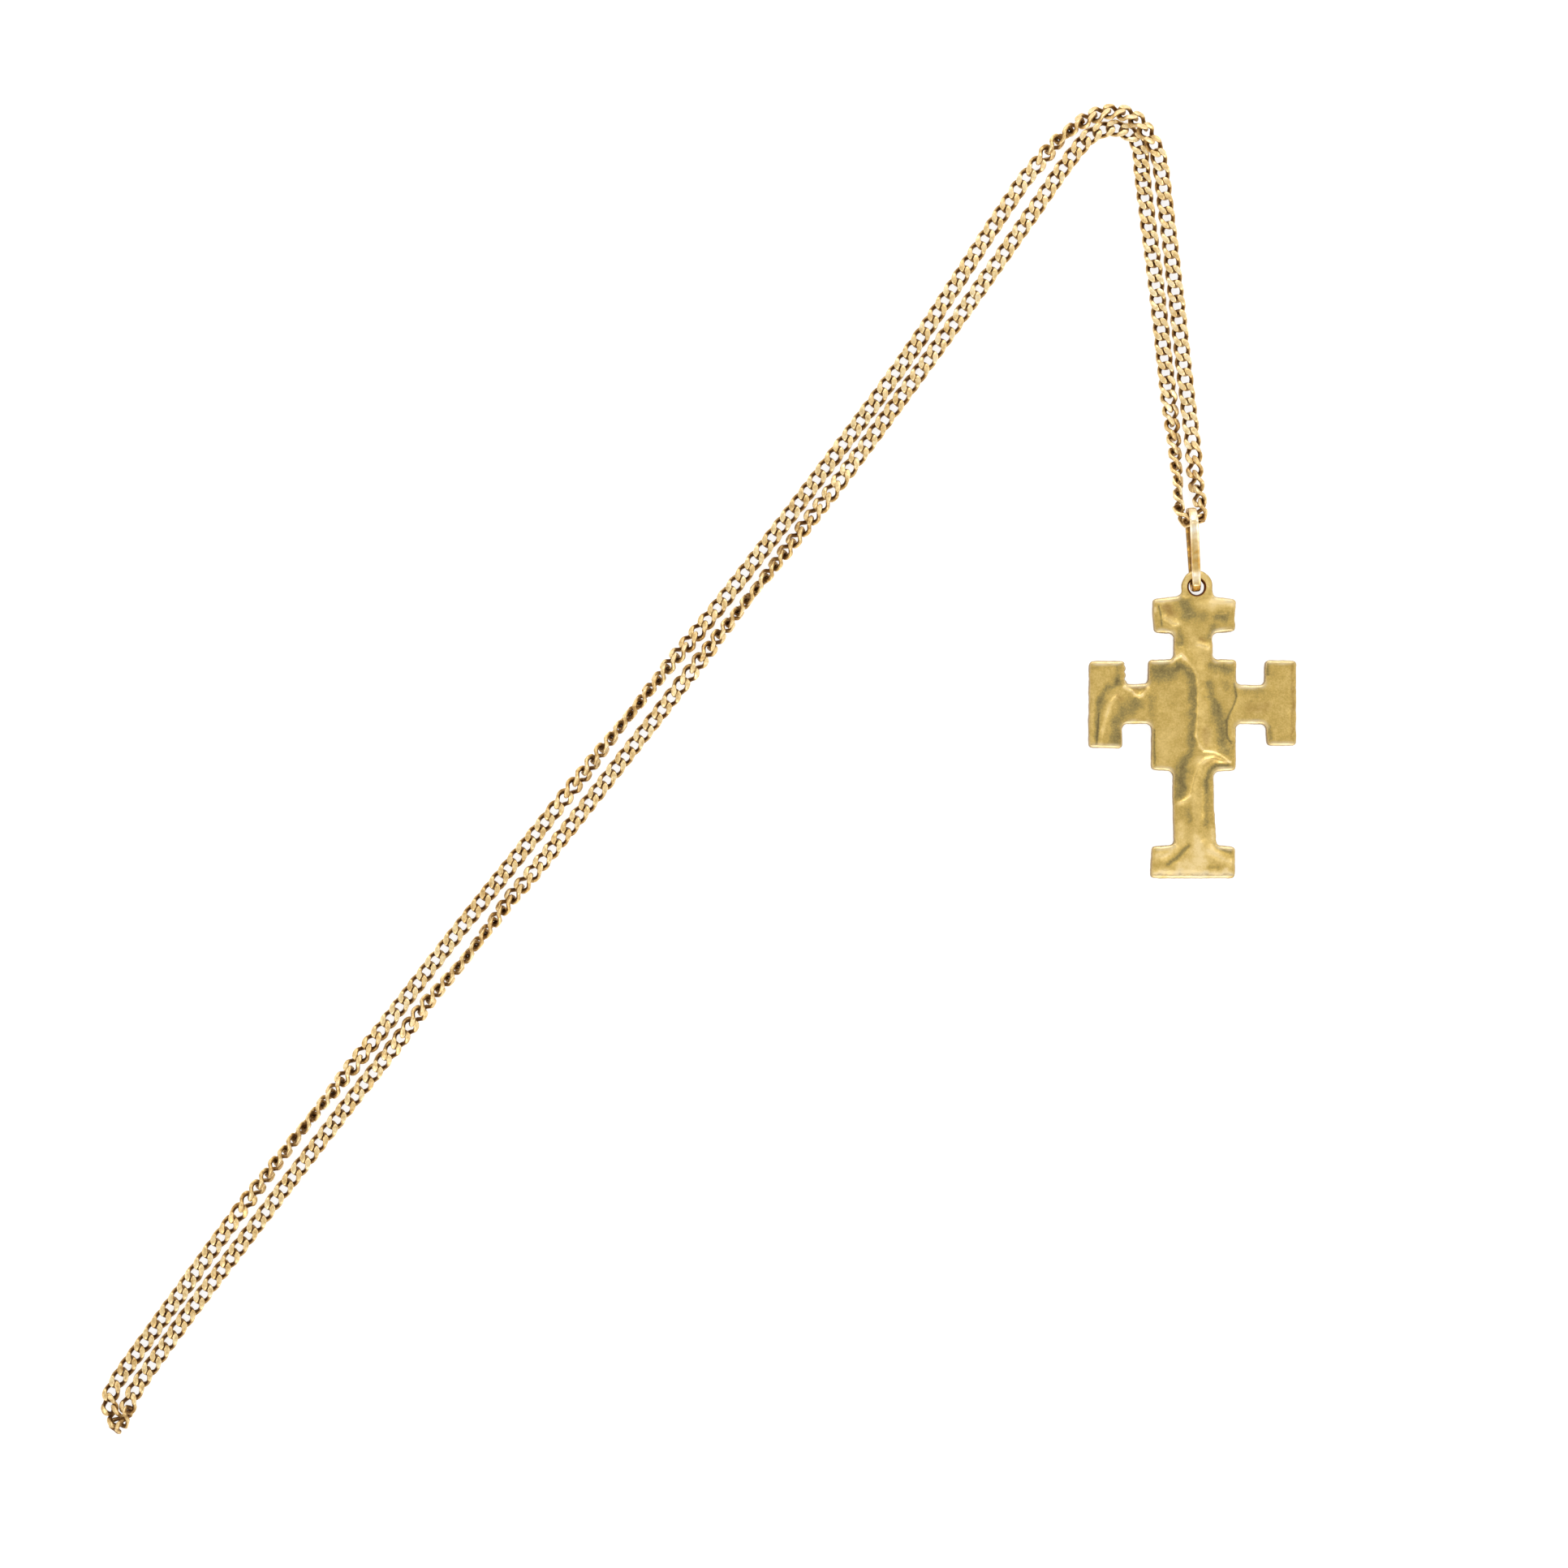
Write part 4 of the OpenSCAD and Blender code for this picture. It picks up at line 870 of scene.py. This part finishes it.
def cross_surface():
    """Points and quads of the whole cross in mm, and how rubbed, stained and filed each point is, with
    painted highlights and painted shade among these.
    """
    outline = rounded_line()
    turn = np.linspace(0, -2 * math.pi, HOLE_STEPS, endpoint=False)
    hole = np.array(HOLE_AT) + (HOLE_RADIUS + HOLE_FILED) * np.stack([np.cos(turn), np.sin(turn)], 1)
    # From 0 on the sides of the bars to 1 on their ends
    is_end = outward_of(outline)[:, 1] ** 2
    for _ in range(END_ROUNDS):
        is_end = 0.25 * np.roll(is_end, 1) + 0.5 * is_end + 0.25 * np.roll(is_end, -1)
    inner = outline - outward_of(outline) * side_to_end(FILED_IN, is_end)[:, None]
    flat, quads, loops = flat_net(inner, hole)

    # The back's relief, and its wear and stains, with painted highlights and painted shade among them
    rise, wear_and_painted_light, back_stain_and_shade = np.zeros(len(flat)), np.full(len(flat), BACK_RUBBED), np.zeros(len(flat))
    for height, wide_left, wide_right, *line in FOLDS:
        away, left, share = from_line(flat, line)
        near = 1 - np.clip(away / np.where(left, wide_left, wide_right), 0, 1)
        run_out = ease(np.minimum(share, 1 - share) / FOLD_ENDS + FOLD_START)
        sharp = min(wide_left, wide_right) < SHARP
        profile = (1.5 * near ** 0.5 - 0.5 * near) if sharp else (2 - near)
        rise += height * near ** 1.5 * profile * run_out
    ragged = flat.copy()
    for far, size, seed in RAGGED:
        ragged += far * np.stack([waves(flat, size, seed), waves(flat, size, seed + 1)], 1)
    for amount, wide, *line in WEAR_AND_PAINTED_LIGHT:
        away, _, _ = from_line(ragged if wide > RAGGED_FROM else flat, line)
        wear_and_painted_light += WEAR_AND_LIGHT_AMOUNT * amount * np.exp(-(away / (WEAR_AND_LIGHT_WIDTH * wide)) ** 2)
    # Real stains, and painted orange shade beside the bright folds at the head and neck
    for amount, wide, *line in STAINS_AND_SHADE:
        away, _, _ = from_line(ragged, line)
        back_stain_and_shade += amount * ease(1 - away / wide)
    edge = search_tree(inner)
    found = [edge.find((*p, 0)) for p in flat]
    to_edge = np.array([near[2] for near in found])
    near_end = is_end[[near[1] for near in found]]
    along_edge = np.exp(-((to_edge - EDGE_STAIN_IN) / EDGE_STAIN_WIDE) ** 2)
    back_stain_and_shade += EDGE_STAIN * along_edge * blotches(flat, *STAIN_BLOTCHES)
    rise += uneven(flat, BACK_UNEVEN)
    in_ring = ease((flat[:, 1] - RING_STARTS + RING_EARLY) / RING_BLEND)
    top = np.minimum(CROSS_TOP + rise, HIGHEST) * (1 - in_ring)
    top += (RING_TOP + RING_FOLDS * rise) * in_ring
    under = RING_FROM * ease((flat[:, 1] - RING_STARTS) / RING_UNDERCUT)
    under = under + LOWEST_FRONT + uneven(flat, FRONT_UNEVEN)
    # Pale where the back's edge faces north or south: filing, and a painted highlight
    pale = np.exp(-(to_edge / PALE_WIDE) ** 2) * near_end * (1 - in_ring)
    pale = np.maximum(pale, ease((PALE_FOOT - ragged[:, 1]) / PALE_FOOT_OVER))

    # The back and the front, then rings of points from one to the other round each border
    points = [np.column_stack([flat, top]), np.column_stack([flat, under])]
    faces = [quads, quads[:, ::-1] + len(flat)]
    rub_and_painted_light = [wear_and_painted_light, np.full(len(flat), FRONT_RUBBED)]
    stain_and_painted_shade = [back_stain_and_shade, np.zeros(len(flat))]
    filed_and_painted_highlight = [pale * blotches(flat, *BACK_BLOTCHES), np.zeros(len(flat))]
    count = 2 * len(flat)
    arc = np.radians(EDGE_ARC)
    levels = [(math.sin(a), 1 - math.cos(a), 0.0) for a in arc]
    levels += [(1.0, 1.0, share) for share in EDGE_LEVELS]
    levels += [(math.sin(a), 1 - math.cos(a), 1.0) for a in arc[::-1]]
    shortest = min(len(loop) for loop, _ in loops)
    for loop, out in loops:
        ring = np.array(loop)
        before = ring
        is_hole = len(loop) == shortest
        ends = near_end[ring]
        filed_in = HOLE_FILED if is_hole else side_to_end(FILED_IN, ends)[:, None]
        filed_down = HOLE_FILED if is_hole else side_to_end(FILED_DOWN, ends)
        for out_share, drop, down in levels:
            upper, lower = top[ring] - filed_down * drop, under[ring] + filed_down * drop
            z = upper * (1 - down) + lower * down
            place = np.column_stack([flat[ring] + out * filed_in * out_share, z])
            slanted = place @ np.array([[1, 0], [0, 1], SIDE_SLANT])
            off_x, off_y = np.abs(place[:, :2] - SCALLOPS_AT).T
            (wide_x, fade_x), (wide_y, fade_y) = SCALLOPS_FADE
            scalloped = ease(wide_x - fade_x * off_x) * ease(wide_y - fade_y * off_y)
            scallops = 2 * np.abs(np.sin((place[:, 1] - SCALLOPS_FROM) * SCALLOP_TURN)) - 1
            rough = uneven(slanted, EDGE_UNEVEN) + SCALLOP_DEEP * scalloped * scallops
            taper = HOLE_TAPER * math.sin(math.pi * down) if is_hole else 0.0
            place[:, :2] += out * (out_share * rough + taper)[:, None]
            here = np.arange(count, count + len(ring))
            faces.append(np.stack([np.roll(before, -1), before, here, np.roll(here, -1)], 1))
            points.append(place)
            # The walls are painted brown as shade, and the hole's wall fully, as painted shade inside
            # the hole
            looks = (SIDE_RUBBED, 1.0 if is_hole else SIDE_STAINED_AND_SHADED, 0.0)
            # Where the rim faces north or south it is painted paler, a painted highlight, and where it
            # faces east or west browner, a painted shade
            if down == 0 and out_share < RIM_SHARE and not is_hole:
                bright = blotches(slanted, *RIM_BLOTCHES)
                bright *= side_to_end(EDGE_FILED_AND_LIT, ends) * (1 - RING_UNFILED * in_ring[ring])
                looks = (side_to_end(EDGE_RUBBED_AND_LIT, ends), side_to_end(EDGE_STAINED_AND_SHADED, ends), bright)
            for values, look in zip((rub_and_painted_light, stain_and_painted_shade, filed_and_painted_highlight), looks):
                values.append(np.full(len(ring), look))
            count += len(ring)
            before = here
        under_ring = ring + len(flat)
        faces.append(np.stack([np.roll(before, -1), before, under_ring, np.roll(under_ring, -1)], 1))
    points = np.vstack(points) + np.array([*CROSS_AT, 0.0])
    return points, np.vstack(faces), [np.concatenate(values) for values in (rub_and_painted_light, stain_and_painted_shade, filed_and_painted_highlight)]


DULL_PATCH, DULL_VARIES = 1.8, 0.6  # mm of a dulled patch, and how much it varies
CAST_GRAIN = 0.3  # mm; the mould's own grain is finer, and is drawn this coarse to show
# Fine scratches run slantwise over the back: mm from one to the next, and mm long
SCRATCH_APART, SCRATCH_LONG, SCRATCH_SLANT = 0.12, 2.4, math.radians(28)
# The olive end also carries painted shade along steep folds and in dents, and the pale end painted
# highlights on fold crests
CROSS_SHADES = ((0.0, "#776842"), (0.25, "#928150"), (0.55, "#C0A35B"), (0.8, "#E0C27A"),
                (1.0, "#F4D99C"))


def cast_gold():
    """Cast and filed gold: satin, olive where it has dulled, and rubbed pale on its edges and folds,
    with painted highlights and painted shade among these.
    """
    material, tree, shader = new_material("cast_yellow_gold")
    rub_and_painted_light = add_node(tree, "ShaderNodeAttribute", attribute_name="rub_and_painted_light").outputs["Fac"]
    stain_and_painted_shade = add_node(tree, "ShaderNodeAttribute", attribute_name="stain_and_painted_shade").outputs["Fac"]
    filed_and_painted_highlight = add_node(tree, "ShaderNodeAttribute", attribute_name="filed_and_painted_highlight").outputs["Fac"]
    where = add_node(tree, "ShaderNodeTexCoord").outputs["Object"]
    patchy = patches(tree, where, DULL_PATCH, DULL_VARIES, 5.0, 0.65)
    grain = add_node(tree, "ShaderNodeTexNoise", {
        "Vector": where, "Scale": 1 / (CAST_GRAIN * MM), "Detail": 2.0, "Roughness": 0.7})
    # The grain shows most where the gold is dull
    dull = add_node(tree, "ShaderNodeMapRange", {
        "Value": rub_and_painted_light, "From Min": 0.2, "From Max": 0.7, "To Min": 0.75, "To Max": 0.35})
    speckled = add_node(tree, "ShaderNodeMath", {0: grain, 1: 0.5}, operation="SUBTRACT")
    speckled = add_node(tree, "ShaderNodeMath", {0: speckled, 1: dull}, operation="MULTIPLY")
    shine = add_node(tree, "ShaderNodeMath", {0: rub_and_painted_light, 1: patchy}, operation="ADD")
    shine = add_node(tree, "ShaderNodeMath", {0: shine, 1: speckled}, operation="ADD")
    colour = add_node(tree, "ShaderNodeValToRGB", {"Fac": shine}, CROSS_SHADES)
    # Filed edges, and the painted highlights on the north and south edges, turn pale
    edged = add_node(tree, "ShaderNodeMix", {0: filed_and_painted_highlight, 6: colour, 7: linear("#DCCAA2")},
                     data_type="RGBA")
    # Real stains, and painted shade on the walls, in the hole and along the east and west edges, turn
    # the gold brown
    soiled_and_shaded = add_node(tree, "ShaderNodeMix", {0: stain_and_painted_shade, 6: edged.outputs[2], 7: linear("#744521")},
                      data_type="RGBA")
    rough = add_node(tree, "ShaderNodeMapRange", {"Value": shine, "To Min": 0.52, "To Max": 0.4})
    along_scratch = 1 / (SCRATCH_LONG * MM)
    slant = add_node(tree, "ShaderNodeMapping", {
        "Vector": where, "Rotation": (0, 0, SCRATCH_SLANT),
        "Scale": (1 / (SCRATCH_APART * MM), along_scratch, along_scratch)})
    scratches = add_node(tree, "ShaderNodeTexNoise", {"Vector": slant, "Scale": 1.0, "Detail": 2.0})
    low = add_node(tree, "ShaderNodeBump", {
        "Height": scratches, "Strength": 0.25, "Distance": 0.02 * MM})
    relief = add_node(tree, "ShaderNodeBump", {
        "Height": grain, "Strength": 0.65, "Distance": 0.03 * MM, "Normal": low})
    set_inputs(tree, shader, {
        "Base Color": soiled_and_shaded.outputs[2], "Metallic": 1.0, "Roughness": rough, "Normal": relief})
    return material


points, faces, looks = cross_surface()
piece = mesh_piece("cross_with_ring", points, faces, zip(("rub_and_painted_light", "stain_and_painted_shade", "filed_and_painted_highlight"), looks))
piece.data.materials.append(cast_gold())
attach(piece, "root")
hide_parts("cross")


# THE FLOOR AND THE LIGHT
# A plain sheet of opal white acrylic, lit softly from below so that it shows
# white through the links, and soft light from large panels on all four sides.

FLOOR_HALF, GLOW_BELOW = 1.5, 0.78
floor_mesh = bpy.data.meshes.new("floor")
corners = [(x * FLOOR_HALF, y * FLOOR_HALF, 0) for x, y in ((-1, -1), (1, -1), (1, 1), (-1, 1))]
floor_mesh.from_pydata(corners, [], [(0, 1, 2, 3)])
floor = bpy.data.objects.new("floor", floor_mesh)
bpy.context.scene.collection.objects.link(floor)
sheet, tree, shader = new_material("matt_opal_acrylic")
set_inputs(tree, shader, {"Base Color": linear("#A3A2A0"), "Roughness": 0.9,
                          "Emission Color": linear("#FFFFFF"), "Emission Strength": GLOW_BELOW})
floor_mesh.materials.append(sheet)

world = bpy.data.worlds.new("studio")
world.use_nodes = True
bpy.context.scene.world = world
tree = world.node_tree
tree.nodes.clear()
look = add_node(tree, "ShaderNodeTexCoord").outputs["Generated"]
look = add_node(tree, "ShaderNodeSeparateXYZ", {0: look}).outputs
# The studio is brighter to the north and south than to the two sides, and darker straight above
north_south = add_node(tree, "ShaderNodeMath", {0: look["Y"], 1: look["Y"]}, operation="MULTIPLY")
round_about = add_node(tree, "ShaderNodeMapRange", {
    "Value": north_south, "From Max": 0.5, "To Min": 0.75, "To Max": 1.12})
sky = add_node(tree, "ShaderNodeMapRange", {
    "Value": look["Z"], "From Min": 0.90, "From Max": 0.99, "To Min": round_about, "To Max": 0.75,
}, interpolation_type="SMOOTHSTEP")
glow = add_node(tree, "ShaderNodeBackground", {"Color": linear("#FFFFFF"), "Strength": sky})
add_node(tree, "ShaderNodeOutputWorld", {"Surface": glow})

# The panels: place and side in metres, and watts; each faces the necklace
PANELS = (("panel_north", (0.0, 0.9, 0.9), 0.7, 4.0), ("panel_south", (0.1, -0.9, 0.8), 0.6, 3.2),
          ("panel_east", (1.0, 0.1, 0.8), 0.5, 2.6), ("panel_west", (-1.0, 0.0, 0.8), 0.5, 1.8))
for name, place, side, watts in PANELS:
    light = bpy.data.lights.new(name, "AREA")
    light.shape, light.size, light.energy = "SQUARE", side, watts
    panel = bpy.data.objects.new(name, light)
    panel.location = place
    panel.rotation_euler = (-Vector(place)).to_track_quat("-Z", "Y").to_euler()
    bpy.context.scene.collection.objects.link(panel)

bpy.context.scene.view_settings.view_transform = "Standard"
